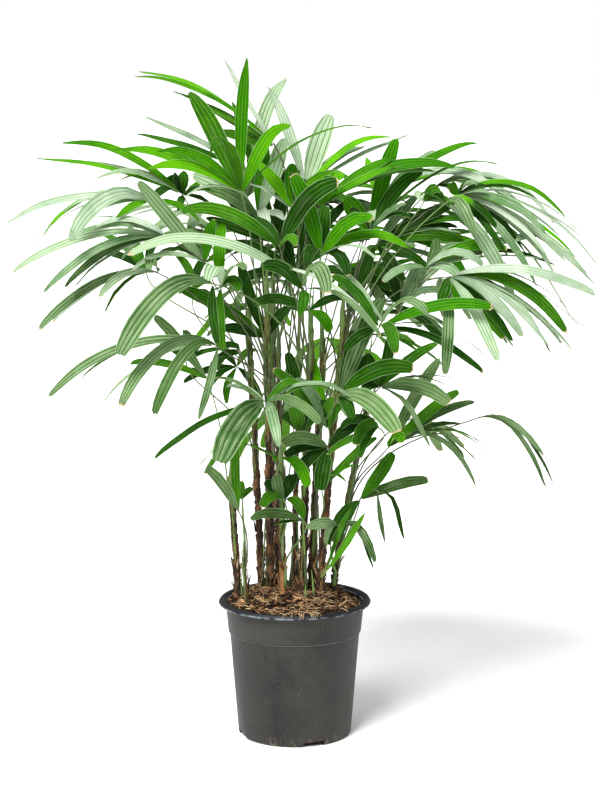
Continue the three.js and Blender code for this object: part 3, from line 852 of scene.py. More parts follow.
def ruffled(frond, chance):
    """The same frond with fingers of less even length, spread and hang."""
    for finger in frond.fingers:
        longer = chance.uniform(0.72, 1.04)
        swing = Matrix.Rotation(math.radians(chance.uniform(-7, 7)), 3, UP)
        dip = chance.uniform(-0.10, 0.06)
        for k, share in enumerate(STATIONS):
            arm = swing @ (finger.middles[k] - frond.hub) * longer
            finger.middles[k] = frond.hub + arm + UP * dip * share * arm.length
            finger.acrosses[k] = (swing @ finger.acrosses[k]).normalized()
        finger.width *= chance.uniform(0.72, 1.06)
    return frond


# Behind the middle of the crown, one or two more fronds grow beside each frond of the frame, from the
# same cane, turned aside and nearer in, so that the crown fills up without growing past its outline.
BACK = 0.11                         # from this y on the crown is filled by rule
LEFT_OUT = ("frond_09_beside_0", "frond_37_beside_0", "frond_45_beside_1", "frond_46_beside_0")
fronds = {name: unfold(name) for name in frond_names}
chance = random.Random(5150)
for name in frond_names:
    first = fronds[name]
    tip = canes[first.cane_name].middle(canes[first.cane_name].top)
    for i in range(2 if first.hub.y > BACK else 1):
        swing = chance.choice((-1, 1)) * chance.uniform(14, 40)
        turned = math.radians(swing)
        out = first.hub - tip
        share = chance.uniform(0.6, 0.98)
        hub = tip + Vector((
            share * (out.x * math.cos(turned) - out.y * math.sin(turned)),
            share * (out.x * math.sin(turned) + out.y * math.cos(turned)),
            out.z * chance.uniform(0.62, 0.94) - chance.uniform(0, 0.03)))
        if first.hub.y < BACK:
            hub.y = BACK + 0.6 * abs(hub.y) + chance.uniform(0, 0.06)
        lift = max(-25, min(78, first.lift + chance.uniform(-12, 18)))
        turn = first.turn + swing * chance.uniform(0.5, 1.3)
        if math.sin(math.radians(turn)) < -0.1:
            turn = -turn
        thin_side = hub.x < -0.11 and hub.z < 0.91 or hub.x > 0.17 and hub.z < 0.73
        open_middle = -0.06 < hub.x < 0.09 and hub.z < 0.86 and chance.random() < 0.6
        if not thin_side and not open_middle and (hub.z > 0.70 or chance.random() < 0.45):
            more = grown(first.cane_name, hub, turn, lift, first.length * chance.uniform(0.7, 0.96), chance)
            more = ruffled(more, chance)
            if f"{name}_beside_{i}" not in LEFT_OUT:      # these would close a gap of the crown
                fronds[f"{name}_beside_{i}"] = more

VIEW_PLACE = (0.0096, -3.7, 1.177)  # of the camera, which looks level along y but for its tilt
VIEW_TILT = math.radians(8.6)
VIEW_LENS, VIEW_FILM = 93.4, 36.0   # millimetres, the film measured along the view's longer side
VIEW_SIZE = (600, 800)


def seen_at(column, row, depth):
    """The point at a depth, as a y, that the camera sees in a column and row of its view."""
    scale = VIEW_LENS / VIEW_FILM * VIEW_SIZE[1]
    aside, down = (column - VIEW_SIZE[0] / 2) / scale, (row - VIEW_SIZE[1] / 2) / scale
    ray = Vector((
        aside,
        math.cos(VIEW_TILT) - down * math.sin(VIEW_TILT),
        -math.sin(VIEW_TILT) - down * math.cos(VIEW_TILT)))
    return Vector(VIEW_PLACE) + ray * ((depth - VIEW_PLACE[1]) / ray.y)


def finger_to(hub, tip, width, arch, face, green, chance):
    """A finger from hub to tip, arched up by a share of its length, its face turned up from the front."""
    span = (tip - hub).length
    crest = (hub + tip) / 2 + UP * 2 * arch * span
    out_of_face = UP * math.cos(math.radians(face)) + FRONT * math.sin(math.radians(face))
    out_of_face = out_of_face + Vector((chance.uniform(-0.12, 0.12), 0, 0))
    middles, acrosses = [], []
    for t in STATIONS:
        middles.append(hub * (1 - t) ** 2 + crest * 2 * t * (1 - t) + tip * t * t)
        run = ((crest - hub) * (1 - t) + (tip - crest) * t).normalized()
        across = run.cross(out_of_face)
        acrosses.append(across.normalized() if across.length > 0.05 else Vector((1, 0, 0)))
    return Finger(middles, acrosses, width, green)


# The fans in front, each listed with its cane, the column and row of its hub in the camera's view, its
# depth as a y, and its fingers. A finger has the column and row of its tip, how many centimetres that
# lies further back than the hub, its width in centimetres, its arch as a share of its length, the
# degrees that its face turns from straight up to the front, and its green.
Tip = namedtuple("Tip", "column row back width arch face green")
# A finger's green paints its light: shone through, in sheen or in shade.
FRONT_FANS = {
    "frond_08": ("cane_04", (241, 193), 0, (
        (247, 50, 3, 2.7, 0, 75, "bright"), (188, 87, 4, 4, 0.09, 75, "fresh"),
        (114, 144, 0, 2.8, 0.09, 45, "bright"), (157, 148, -7, 2.8, 0.12, 50, "bright"),
        (145, 165, -9, 2.8, 0.11, 52, "bright"), (210, 153, -9, 2.6, 0.42, 55, "fresh"),
        (291, 124, -6, 3.2, 0.2, 60, "bright"), (375, 123, 3, 1.4, 0.14, 10, "fresh"),
        (184, 194, -5, 1.6, 0.14, 8, "pale"),
    )),
    "frond_42": ("cane_12", (275, 146), 0.09, (
        (196, 98, 2, 1.9, 0.02, 45, "fresh"), (215, 124, 0, 2.2, 0, 60, "fresh"),
        (138, 65, 5, 1.1, 0.08, 35, "bright"), (133, 75, 0, 1.2, 0.1, 35, "bright"),
        (172, 88, 2, 1.5, 0.02, 25, "fresh"), (224, 54, 2, 1.5, -0.04, 18, "pale"),
    )),
    "behind_crown": ("cane_12", (252, 172), 0.15, (
        (287, 72, 3, 3, 0.14, 60, "mint"), (143, 115, 3, 1.8, 0.01, 34, "pale"),
        (134, 130, 0, 1.8, 0.02, 38, "fresh"), (232, 100, 4, 2, 0.04, 60, "fresh"),
    )),
    "frond_17": ("cane_07", (306, 188), 0.12, (
        (393, 131, 2, 1.9, 0.14, 28, "bright"), (411, 134, 4, 1.6, 0.05, 20, "pale"),
        (268, 83, 4, 2.2, 0.06, 60, "pale"), (331, 112, 4, 3.9, 0.06, 85, "mint"),
        (365, 146, 3, 2.2, 0.1, 35, "pale"), (352, 176, -3, 2, 0.2, 40, "bright"),
    )),
    "frond_12": ("cane_05", (258, 217), 0.09, (
        (285, 133, 2, 3.2, 0.04, 75, "mint"), (266, 140, 5, 3, 0.02, 70, "bright"),
        (192, 174, 4, 3.8, 0.06, 70, "mint"), (205, 186, 1, 3.2, 0.06, 60, "dull"),
        (285, 219, -4, 2.2, 0.14, 35, "pale"), (268, 234, -9, 2.4, 0.3, 60, "pale"),
    )),
    "upright_pair": ("cane_05", (295, 211), 0.03, (
        (291, 163, -4, 3, 0.1, 70, "bright"), (298, 173, -9, 2.6, 0.3, 60, "deep"),
        (256, 160, 0, 2.4, 0, 60, "bright"), (248, 178, 2, 1, 0, 20, "pale"),
        (338, 172, 3, 2.6, 0.16, 50, "bright"),
    )),
    "frond_20": ("cane_08", (318, 207), 0, (
        (396, 152, 2, 2.2, 0.05, 45, "bright"), (396, 163, -2, 2, 0.05, 35, "bright"),
        (456, 162, 1, 2.8, 0.1, 45, "bright"), (343, 176, -6, 3.2, 0.2, 60, "bright"),
        (336, 190, -9, 2.8, 0.3, 60, "bright"), (436, 166, 0, 2.2, 0.09, 30, "deep"),
    )),
    "frond_21": ("cane_08", (280, 248), -0.07, (
        (181, 208, -3, 3, 0.15, 50, "fresh"), (339, 177, -4, 3.4, 0.13, 60, "deep"),
        (296, 243, -6, 2, 0.2, 50, "fresh"), (252, 216, 5, 2.4, 0.04, 60, "deep"),
    )),
    "frond_25": ("cane_09", (321, 257), -0.06, (
        (293, 173, -2, 3, 0.05, 70, "bright"), (373, 219, -5, 2.8, 0.22, 55, "bright"),
        (408, 245, -2, 2.2, 0.2, 45, "bright"), (308, 215, 3, 2.6, 0, 70, "deep"),
        (378, 254, -8, 1.5, 0.16, 10, "mint"), (383, 320, -6, 1.4, 0.12, 8, "mint"),
        (307, 258, -9, 2.4, 0.2, 50, "deep"), (348, 276, -8, 2.4, 0.22, 45, "deep"),
        (325, 205, 4, 2.8, 0.02, 75, "fresh"),
    )),
    "frond_22": ("cane_08", (303, 290), -0.14, (
        (127, 254, 0, 2.3, 0.17, 45, "mint"), (263, 260, -3, 2.8, 0.12, 55, "deep"),
        (327, 293, -15, 2.8, 0.3, 50, "soft"), (381, 336, -6, 1.6, 0.18, 20, "soft"),
        (300, 310, -7, 2, 0.1, 60, "fresh"),
    )),
    "level_dark": ("cane_08", (309, 311), -0.05, (
        (252, 302, -3, 2.4, 0.1, 50, "deep"), (285, 300, 2, 2.4, 0.12, 55, "dull"),
        (330, 330, -4, 2.2, 0.1, 60, "bright"), (346, 296, 4, 2, 0.12, 40, "deep"),
    )),
    "frond_34": ("cane_10", (379, 328), -0.16, (
        (285, 264, 2, 1.8, 0.08, 14, "pale"), (331, 272, 3, 2.2, 0.1, 35, "fresh"),
        (426, 312, -15, 2.2, 0.2, 45, "soft"), (494, 303, -3, 2.6, 0.09, 50, "bright"),
        (396, 353, -17, 2.4, 0.14, 60, "fresh"), (484, 371, 2, 2.2, 0.12, 35, "deep"),
        (486, 353, 4, 0.9, 0.14, 5, "deep"), (345, 345, 1, 2.2, 0.05, 60, "deep"),
    )),
    "frond_31": ("cane_10", (370, 231), 0.02, (
        (397, 138, 2, 3, 0.09, 80, "bright"), (423, 166, 0, 2.8, 0.12, 60, "fresh"),
        (345, 194, -5, 3.6, 0.05, 75, "bright"), (500, 158, 0, 1.4, 0.15, 12, "fresh"),
        (406, 200, -4, 1.8, 0.1, 35, "mint"), (412, 212, -6, 1.8, 0.12, 30, "deep"),
        (350, 206, -9, 2, 0.1, 50, "deep"), (374, 220, -9, 1.6, 0.3, 40, "mint"),
    )),
    "frond_30": ("cane_10", (380, 200), 0.07, (
        (478, 139, 2, 2.2, 0.1, 40, "bright"), (436, 150, 4, 2, 0.1, 35, "mint"),
        (493, 176, -2, 2.2, 0.13, 35, "bright"), (366, 150, 4, 2.2, 0, 60, "bright"),
        (512, 204, -6, 2, 0.26, 45, "pale"),
    )),
    "striped_level": ("cane_10", (376, 245), 0.03, (
        (472, 240, 1, 2.6, 0.08, 60, "fresh"), (458, 222, 4, 2.2, 0.06, 40, "deep"),
        (418, 192, 2, 2, 0.02, 55, "soft"), (455, 206, 3, 2.2, 0.06, 50, "deep"),
        (470, 215, 3, 2, 0.08, 45, "fresh"), (440, 206, 5, 2, 0.08, 35, "deep"),
        (404, 280, -4, 2.4, 0.1, 60, "deep"), (430, 270, -3, 2.2, 0.15, 45, "deep"),
        (462, 230, 2, 1.4, 0.08, 20, "mint"), (360, 290, -3, 2.4, 0.1, 60, "deep"),
    )),
    "frond_29": ("cane_10", (457, 196), -0.02, (
        (566, 213, 0, 1.8, 0.2, 30, "bright"), (537, 197, 2, 1.8, 0.16, 25, "bright"),
        (597, 287, -2, 1.4, 0.1, 30, "pale"), (561, 236, 2, 1.3, 0.14, 25, "pale"),
        (545, 250, -5, 1.4, 0.1, 35, "pale"), (530, 216, 3, 1.4, 0.16, 25, "mint"),
        (547, 230, -6, 2, 0.12, 50, "mint"), (556, 268, -3, 2, 0.1, 45, "mint"),
        (589, 274, -1, 2.3, 0.09, 42, "mint"), (567, 259, -3, 1.6, 0.12, 36, "mint"),
        (588, 243, 3, 1.4, 0.12, 14, "pale"), (581, 229, 5, 1.4, 0.14, 12, "pale"),
        (600, 263, 2, 1.6, 0.15, 20, "pale"), (577, 256, 0, 1.3, 0.12, 28, "bright"),
        (478, 178, -4, 1.6, 0.1, 40, "mint"), (488, 186, -3, 1.6, 0.1, 35, "deep"),
        (470, 176, -5, 1.6, 0.1, 45, "deep"), (448, 182, -2, 2.4, 0.04, 60, "fresh"),
        (520, 226, 1, 1.6, 0.12, 40, "pale"), (508, 252, -4, 1.6, 0.1, 50, "deep"),
        (526, 252, -2, 1.5, 0.1, 40, "deep"), (538, 285, -5, 1.7, 0.08, 45, "mint"),
        (494, 193, -6, 1.4, 0.1, 30, "mint"), (575, 320, 4, 1.4, 0.12, 12, "dull"),
    )),
    "arching_over": ("cane_10", (434, 188), 0.04, (
        (556, 222, 1, 1.9, 0.22, 32, "pale"), (545, 203, 3, 2, 0.17, 30, "bright"),
        (528, 214, -3, 1.9, 0.23, 38, "mint"), (504, 224, -5, 2, 0.26, 42, "soft"),
        (486, 184, 4, 1.8, 0.16, 30, "fresh"), (518, 190, 5, 1.6, 0.18, 20, "pale"),
        (470, 214, -5, 2, 0.26, 45, "deep"),
    )),
    "frond_28": ("cane_09", (446, 203), -0.07, (
        (514, 292, 0, 2.9, 0.14, 70, "mint"), (475, 233, -6, 2.2, 0.34, 60, "soft"),
        (478, 204, 2, 2, 0.2, 40, "bright"), (497, 226, 3, 2.2, 0.22, 40, "deep"),
        (420, 188, 4, 2.2, 0.1, 50, "deep"),
    )),
    "small_bright": ("cane_09", (424, 202), -0.03, (
        (441, 185, -4, 2.2, 0.06, 60, "fresh"), (415, 190, 2, 1.8, 0.1, 55, "mint"),
        (455, 206, -2, 1.8, 0.2, 45, "fresh"), (462, 214, 2, 2, 0.16, 40, "soft"),
    )),
    "frond_32": ("cane_10", (448, 277), -0.12, (
        (597, 296, 0, 2.6, 0.12, 40, "pale"), (445, 374, -12, 2.3, 0.05, 80, "soft"),
        (440, 300, -4, 2.2, 0.04, 55, "fresh"), (498, 356, -8, 2.4, 0.12, 60, "mint"),
        (523, 333, -2, 2.3, 0.17, 55, "pale"), (568, 327, 1, 2.6, 0.16, 60, "fresh"),
        (563, 338, 3, 2, 0.13, 30, "pale"), (587, 325, 5, 1, 0.17, 8, "deep"),
        (583, 329, 6, 1.2, 0.15, 10, "mint"), (505, 338, 2, 3, 0.14, 60, "fresh"),
        (493, 329, 3, 2.2, 0.15, 50, "bright"), (552, 350, 3, 1.6, 0.2, 15, "deep"),
        (573, 350, 2, 1.6, 0.14, 20, "mint"), (513, 338, 1, 1.8, 0.1, 50, "deep"),
        (537, 322, 0, 1.8, 0.12, 45, "mint"), (549, 346, -1, 1.4, 0.14, 35, "pale"),
        (455, 300, -2, 2, 0.1, 60, "bright"),
    )),
    "level_bright": ("cane_11", (426, 268), -0.05, (
        (508, 242, 0, 2.6, 0.08, 50, "bright"), (467, 244, 2, 2.8, 0.1, 55, "mint"),
        (541, 228, 2, 2, 0.02, 45, "mint"), (483, 260, -4, 2.2, 0.22, 35, "pale"),
        (383, 279, -4, 2, 0.16, 35, "mint"), (566, 258, 3, 1.3, 0.06, 10, "pale"),
        (438, 236, 2, 2, 0.04, 55, "dull"), (462, 276, -3, 2.2, 0.12, 50, "mint"),
        (556, 262, 4, 1.8, 0.1, 25, "deep"),
    )),
    "between_canes": ("cane_10", (362, 262), 0.06, (
        (350, 308, 3, 2.4, 0.05, 60, "deep"), (384, 303, 4, 2.4, 0.06, 60, "soft"),
        (396, 288, 5, 2.2, 0.08, 50, "fresh"), (338, 290, 4, 2.2, 0.06, 60, "bright"),
    )),
    "frond_37": ("cane_11", (399, 306), 0.06, (
        (466, 245, 2, 3, 0.1, 55, "mint"), (484, 252, 4, 2.2, 0.14, 45, "dull"),
        (421, 258, 0, 2.8, 0.04, 65, "mint"), (384, 250, -2, 2.4, 0.03, 60, "deep"),
        (448, 291, -3, 2.2, 0.18, 40, "mint"), (444, 340, -2, 2, 0.1, 45, "deep"),
        (400, 262, 1, 2.6, 0.03, 65, "dull"), (370, 272, 3, 2.2, 0.05, 60, "deep"),
    )),
    "frond_03": ("cane_03", (183, 195), 0.04, (
        (60, 139, 0, 2.3, 0.11, 38, "bright"), (32, 159, 2, 1.9, 0.07, 26, "bright"),
        (54, 163, 4, 1.6, 0.09, 22, "pale"), (95, 172, -2, 2, 0.12, 35, "mint"),
        (166, 172, -5, 2, 0.04, 65, "fresh"), (184, 165, -6, 2.4, 0.02, 75, "fresh"),
        (174, 169, -7, 1.6, 0.02, 70, "deep"), (214, 189, 5, 2, 0.06, 45, "deep"),
        (178, 208, -5, 1.8, 0.06, 70, "fresh"), (217, 208, 6, 2, 0.08, 45, "deep"),
        (118, 181, 3, 1.6, 0.2, 25, "pale"),
    )),
    "frond_09": ("cane_04", (149, 202), -0.06, (
        (2, 223, -2, 2.2, 0.1, 40, "pale"), (70, 238, -9, 3.7, 0.24, 62, "pale"),
        (42, 231, 6, 1.8, 0.2, 34, "bright"), (62, 206, 4, 1.6, 0.1, 20, "pale"),
        (88, 216, 1, 1.8, 0.14, 34, "mint"), (172, 187, 3, 2.2, 0.2, 45, "deep"),
        (116, 217, -8, 2, 0.1, 50, "bright"), (27, 246, 2, 1, 0.16, 8, "pale"),
        (200, 216, 4, 2, 0.14, 40, "bright"),
    )),
    "frond_04": ("cane_03", (168, 238), -0.1, (
        (12, 272, -2, 2.2, 0.13, 44, "mint"), (43, 288, -3, 2.2, 0.15, 42, "mint"),
        (64, 286, 0, 2.2, 0.12, 42, "soft"), (74, 283, 2, 1.5, 0.12, 20, "pale"),
        (57, 222, 4, 1.2, 0.12, 8, "pale"), (96, 226, -4, 2.2, 0.2, 35, "pale"),
        (62, 243, 1, 2.2, 0.14, 30, "mint"), (130, 222, 5, 2.2, 0.1, 40, "fresh"),
    )),
    "frond_05": ("cane_03", (158, 273), -0.06, (
        (38, 327, -3, 2.3, 0.15, 45, "soft"), (52, 320, 1, 1.8, 0.15, 30, "pale"),
        (99, 294, -4, 2.2, 0.14, 45, "mint"), (104, 308, 2, 1.5, 0.2, 28, "fresh"),
        (149, 262, -8, 2.2, 0.2, 50, "dull"),
    )),
    "frond_10": ("cane_04", (205, 263), -0.07, (
        (137, 181, -2, 3.2, 0.05, 70, "soft"), (131, 265, -2, 2, 0.14, 30, "mint"),
        (168, 245, 3, 2.4, 0.1, 45, "deep"), (214, 215, 3, 2.6, 0.02, 65, "bright"),
        (187, 222, 4, 2.6, 0.02, 60, "dull"), (240, 240, 4, 2.2, 0.05, 50, "fresh"),
    )),
    "frond_06": ("cane_03", (146, 272), 0.13, (
        (92, 252, 9, 2.2, 0.12, 40, "deep"), (104, 236, 12, 2, 0.12, 40, "bright"),
        (128, 222, 15, 2.2, 0.08, 40, "fresh"), (165, 236, 17, 2.2, 0.1, 40, "deep"),
        (190, 250, 14, 2, 0.1, 45, "deep"),
    )),
    "frond_07": ("cane_03", (186, 362), 0.18, (
        (160, 338, 14, 2.2, 0.06, 40, "deep"), (185, 328, 17, 2.2, 0.04, 40, "fresh"),
        (208, 334, 16, 2.2, 0.06, 40, "deep"), (228, 350, 14, 2, 0.06, 40, "fresh"),
    )),
    "frond_11": ("cane_04", (221, 287), -0.12, (
        (222, 222, 4, 2.6, 0.02, 65, "bright"), (208, 274, -17, 3.2, 0.16, 45, "mint"),
        (246, 262, -12, 2.4, 0.12, 45, "dull"), (222, 350, -1, 2.6, 0, 70, "fresh"),
        (240, 285, -6, 2.4, 0.14, 60, "fresh"),
    )),
    "frond_23": ("cane_08", (213, 284), -0.165, (
        (119, 349, -8, 4.2, 0.25, 62, "soft"), (217, 337, -15, 2, 0.02, 75, "deep"),
        (178, 287, 6, 2.2, 0.05, 55, "deep"),
    )),
    "long_olive": ("cane_04", (266, 338), 0.02, (
        (177, 287, -4, 2.8, 0.06, 55, "fresh"), (221, 326, -3, 2.4, 0.1, 55, "deep"),
        (240, 262, -2, 2.2, 0, 65, "deep"), (290, 305, 2, 2.2, 0.05, 60, "deep"),
    )),
    "frond_24": ("cane_08", (218, 347), -0.13, (
        (47, 391, 2, 2.4, 0.15, 50, "soft"), (78, 380, 3, 1.6, 0.16, 14, "dull"),
        (103, 396, -3, 1.6, 0.15, 16, "mint"), (120, 402, -10, 2.6, 0.24, 50, "soft"),
        (154, 408, -14, 2.5, 0.25, 60, "dull"), (199, 418, -14, 1.7, 0.06, 65, "soft"),
        (222, 318, 2, 2.6, 0.04, 65, "fresh"), (240, 342, 3, 2, 0.1, 50, "deep"),
    )),
    "frond_14": ("cane_05", (237, 367), 0.23, (
        (183, 382, -2, 2, 0.1, 45, "deep"), (203, 396, -4, 1.9, 0.12, 50, "deep"),
        (226, 402, -3, 1.9, 0.08, 50, "fresh"), (262, 396, -3, 2, 0.1, 50, "deep"),
        (258, 344, 3, 2, 0.06, 50, "fresh"), (222, 340, 4, 2, 0.06, 50, "deep"),
    )),
    "frond_13": ("cane_05", (194, 290), 0.21, (
        (176, 252, 4, 2, 0.06, 45, "fresh"), (205, 256, 4, 2.2, 0.06, 45, "deep"),
        (228, 268, 2, 2.2, 0.1, 50, "fresh"), (216, 306, -4, 2, 0.12, 50, "deep"),
    )),
    "frond_01": ("cane_01", (207, 379), 0.05, (
        (130, 358, 3, 2.2, 0.07, 42, "fresh"), (154, 316, 4, 2.5, 0.09, 55, "dull"),
        (186, 366, 2, 1.8, 0.06, 40, "fresh"), (226, 355, -3, 2, 0.1, 50, "deep"),
        (240, 348, 3, 2.2, 0.12, 55, "deep"),
    )),
    "frond_15": ("cane_06", (266, 403), -0.14, (
        (219, 456, -12, 4.8, 0.16, 66, "soft"), (154, 456, 1, 1.9, 0.07, 30, "deep"),
        (206, 375, 2, 1.5, 0.12, 12, "dull"), (279, 441, -14, 2, 0.12, 80, "mint"),
        (320, 421, -13, 2.2, 0.16, 42, "dull"), (300, 378, 1, 1.8, 0.2, 40, "fresh"),
        (226, 382, 4, 1.6, 0.1, 25, "pale"), (360, 401, -2, 1.3, 0.2, 24, "mint"),
    )),
    "pleated_small": ("cane_08", (299, 432), -0.06, (
        (282, 412, -4, 2.4, 0.04, 72, "deep"), (293, 404, -5, 2.6, 0.02, 75, "fresh"),
        (306, 405, -5, 2.6, 0.02, 75, "deep"), (316, 413, -4, 2.2, 0.06, 70, "fresh"),
        (288, 350, 3, 2.4, 0.02, 65, "deep"),
    )),
    "spray_of_uprights": ("cane_09", (329, 430), -0.05, (
        (273, 364, 0, 2.2, 0.08, 45, "fresh"), (296, 373, -2, 2.2, 0.08, 45, "mint"),
        (310, 352, 3, 2.3, 0.02, 75, "bright"), (322, 393, -3, 1.8, 0, 65, "deep"),
        (332, 392, -3, 1.8, 0, 65, "fresh"), (343, 398, -3, 1.6, 0, 60, "fresh"),
    )),
    "broad_left": ("cane_09", (328, 448), -0.07, (
        (282, 443, -4, 2.8, 0.16, 52, "dull"), (284, 456, -2, 2.2, 0.1, 45, "deep"),
        (320, 487, -3, 2.8, 0.02, 70, "deep"), (300, 470, -2, 2.4, 0.05, 60, "deep"),
        (376, 415, 2, 2.6, 0.12, 50, "deep"),
    )),
    "frond_27": ("cane_09", (339, 396), -0.125, (
        (383, 293, 4, 3, 0.1, 68, "soft"), (414, 365, -3, 3, 0.14, 60, "fresh"),
        (397, 433, -14, 3.7, 0.15, 66, "dull"), (283, 396, -3, 1.3, 0.2, 16, "fresh"),
        (366, 352, 2, 2.4, 0.06, 60, "deep"), (352, 412, -6, 2.2, 0.1, 60, "deep"),
        (354, 330, 3, 2.4, 0.03, 60, "deep"),
    )),
    "frond_35": ("cane_11", (379, 388), -0.1, (
        (450, 403, -2, 3, 0.11, 62, "dull"), (430, 443, -3, 1.3, 0.2, 30, "soft"),
        (438, 343, 3, 2.2, 0.1, 45, "fresh"), (446, 383, 4, 1.2, 0.14, 12, "dull"),
        (461, 377, 5, 1, 0.08, 6, "dull"), (366, 350, 2, 2.4, 0.03, 60, "deep"),
        (392, 330, 2, 2.2, 0, 65, "deep"), (362, 392, -5, 2.2, 0.2, 50, "deep"),
    )),
    "frond_38": ("cane_11", (388, 448), -0.06, (
        (440, 354, 2, 2.5, 0.02, 60, "dull"), (459, 387, 0, 2.3, 0.02, 55, "fresh"),
        (475, 400, 2, 2, 0.08, 45, "soft"), (462, 417, 3, 1.4, 0.08, 35, "soft"),
        (476, 486, 0, 1.5, 0.32, 30, "soft"), (481, 440, 3, 1.3, 0.15, 10, "fresh"),
        (475, 441, 4, 0.9, 0.12, 5, "dull"), (402, 440, -6, 2.2, 0.2, 50, "bright"),
    )),
    "folded_low": ("cane_11", (379, 428), -0.08, (
        (355, 440, -5, 2.4, 0.3, 50, "fresh"), (360, 453, -5, 1.6, 0.2, 60, "fresh"),
        (326, 451, -3, 1.6, 0.06, 45, "fresh"), (340, 424, 2, 2.4, 0.14, 45, "deep"),
    )),
    "frond_36": ("cane_11", (478, 418), -0.06, (
        (547, 483, -2, 1.2, 0.24, 30, "soft"), (554, 481, 1, 1.2, 0.26, 24, "soft"),
        (544, 455, -1, 1.5, 0.2, 40, "soft"),
    )),
    "frond_40": ("cane_11", (360, 500), -0.04, (
        (394, 451, 0, 2.6, 0.03, 60, "fresh"), (429, 479, 1, 2.3, 0.08, 55, "dull"),
        (333, 540, -3, 3, 0.1, 60, "deep"),
    )),
    "curled_low": ("cane_11", (377, 491), -0.05, (
        (385, 543, -3, 1, 0.1, 34, "soft"), (405, 535, -1, 1, 0.3, 34, "deep"),
    )),
    "frond_41": ("cane_11", (338, 526), -0.075, (
        (308, 529, -3, 2.3, 0.22, 55, "soft"), (375, 559, -4, 1.5, 0.34, 34, "soft"),
        (374, 567, -2, 0.8, 0.34, 20, "deep"), (327, 540, -4, 1.8, 0.12, 60, "deep"),
        (326, 543, -5, 1.2, 0.2, 40, "soft"),
    )),
    "lime_sword": ("cane_11", (326, 572), -0.1, (
        (365, 510, 0, 1.4, 0, 45, "fresh"), (352, 499, 2, 1, 0, 30, "fresh"),
    )),
    "long_riser": ("cane_09", (321, 488), -0.06, (
        (377, 430, 1, 1.6, 0.02, 45, "fresh"), (313, 450, 0, 2.4, 0.02, 65, "fresh"),
        (356, 462, -3, 1.2, 0.06, 35, "bright"), (346, 482, -5, 1, 0.3, 20, "fresh"),
    )),
    "rolled_dark": ("cane_06", (284, 500), -0.06, (
        (262, 505, -4, 2.4, 0.32, 50, "fresh"), (264, 483, -3, 2.4, 0.1, 60, "deep"),
        (276, 470, -3, 2, 0.02, 65, "dull"), (294, 468, 1, 2.4, 0, 70, "deep"),
        (303, 470, 2, 1.8, 0.04, 60, "deep"),
    )),
    "lime_stem": ("cane_06", (281, 459), -0.085, (
        (308, 484, -3, 2.2, 0.24, 58, "bright"), (243, 440, 2, 0.9, 0.02, 15, "fresh"),
        (275, 459, -2, 1.2, 0.1, 40, "bright"),
    )),
    "frond_16": ("cane_06", (304, 521), -0.06, (
        (250, 514, -2, 2, 0.09, 55, "dull"), (273, 524, 0, 1, 0.06, 25, "fresh"),
        (288, 492, 1, 2, 0.04, 60, "fresh"),
    )),
    "frond_02": ("cane_02", (239, 512), -0.045, (
        (206, 466, -2, 2.4, 0.07, 62, "dull"), (236, 440, 1, 2, 0, 70, "fresh"),
    )),
}
LEFT_SLIMNESS = 0.84                # how wide fingers out at the sides are against those in the middle
RIGHT_SLIMNESS = 0.92
CROWN_MIDDLE = 0.03                 # as an x
for name, (cane_name, place, depth, tips) in FRONT_FANS.items():
    chance = random.Random(name)
    hub = seen_at(*place, depth)
    share = LEFT_SLIMNESS if hub.x < CROWN_MIDDLE else RIGHT_SLIMNESS
    slim = 0.01 * (1 - (1 - share) * smooth_step(0.06, 0.14, abs(hub.x - CROWN_MIDDLE)))
    fingers = []
    for tip in (Tip(*row) for row in tips):
        end = seen_at(tip.column, tip.row, depth + tip.back / 100)
        fingers.append(finger_to(hub, end, tip.width * slim, tip.arch, tip.face, tip.green, chance))
    fronds[name] = Frond(cane_name, stalk_to(cane_name, hub, lead_of(hub, fingers), chance), hub, fingers)
for name in frond_names:
    if name not in FRONT_FANS:
        fronds[name] = ruffled(fronds[name], random.Random(name))


def stalk_finish(name, green, worn):
    """A smooth waxy skin, blotched where it has weathered."""
    made = Finish(name)
    made.give("Base Color", made.blend(made.band(made.speckle(30.0), 0.5, 0.72), green, worn))
    made.give("Roughness", 0.42)
    made.emboss(made.speckle(700.0, 2.0, (1, 1, 0.15)), 0.00015)
    return made


stalk_green = stalk_finish("green_petiole", (0.085, 0.165, 0.030), (0.115, 0.125, 0.042))
stalk_lime = stalk_finish("lime_petiole", (0.120, 0.240, 0.026), (0.085, 0.150, 0.026))
stalk_brown = stalk_finish("weathered_petiole", (0.042, 0.066, 0.015), (0.085, 0.062, 0.022))

LIME_STALKS = ("lime_sword", "lime_stem", "frond_41", "frond_12", "pleated_small", "long_riser")
STALK_FLAT = 0.82                   # how deep a stalk is against its width
widths = [0.0036, 0.0062, 0.0064, 0.0058, 0.0048]        # of the clasping foot, up to where it lets go
widths += [0.0038 - 0.0012 * i / (STALK_STEPS - 2) for i in range(STALK_STEPS - 1)]
widths += [0.0042, 0.0016]                               # of the knob
chance = random.Random(303)
stalks = Heap()
for name, frond in fronds.items():
    cane = canes[frond.cane_name]
    path = frond.stalk
    foot = path[0]
    middle = cane.middle(foot.z)
    turn = math.atan2(foot.y - middle.y, foot.x - middle.x)
    strip = []
    for share in (1.0, 0.75, 0.5, 0.25):
        z = max(cane.foot + 0.004 * (2 - share), foot.z - SHEATH_STRIP * share)
        strip.append(cane.side(z, turn, -0.0006 + 0.0014 * (1 - share)))
    ahead = (path[-1] - path[-2]).normalized()
    knob = [path[-1] + ahead * 0.003, path[-1] + ahead * 0.007]
    shade = 1 if name in LIME_STALKS else either((0, 2), (5, 3))
    stalks.rod(strip + path + knob, widths, STALK_FLAT, STALK_SIDES, tone=shade)

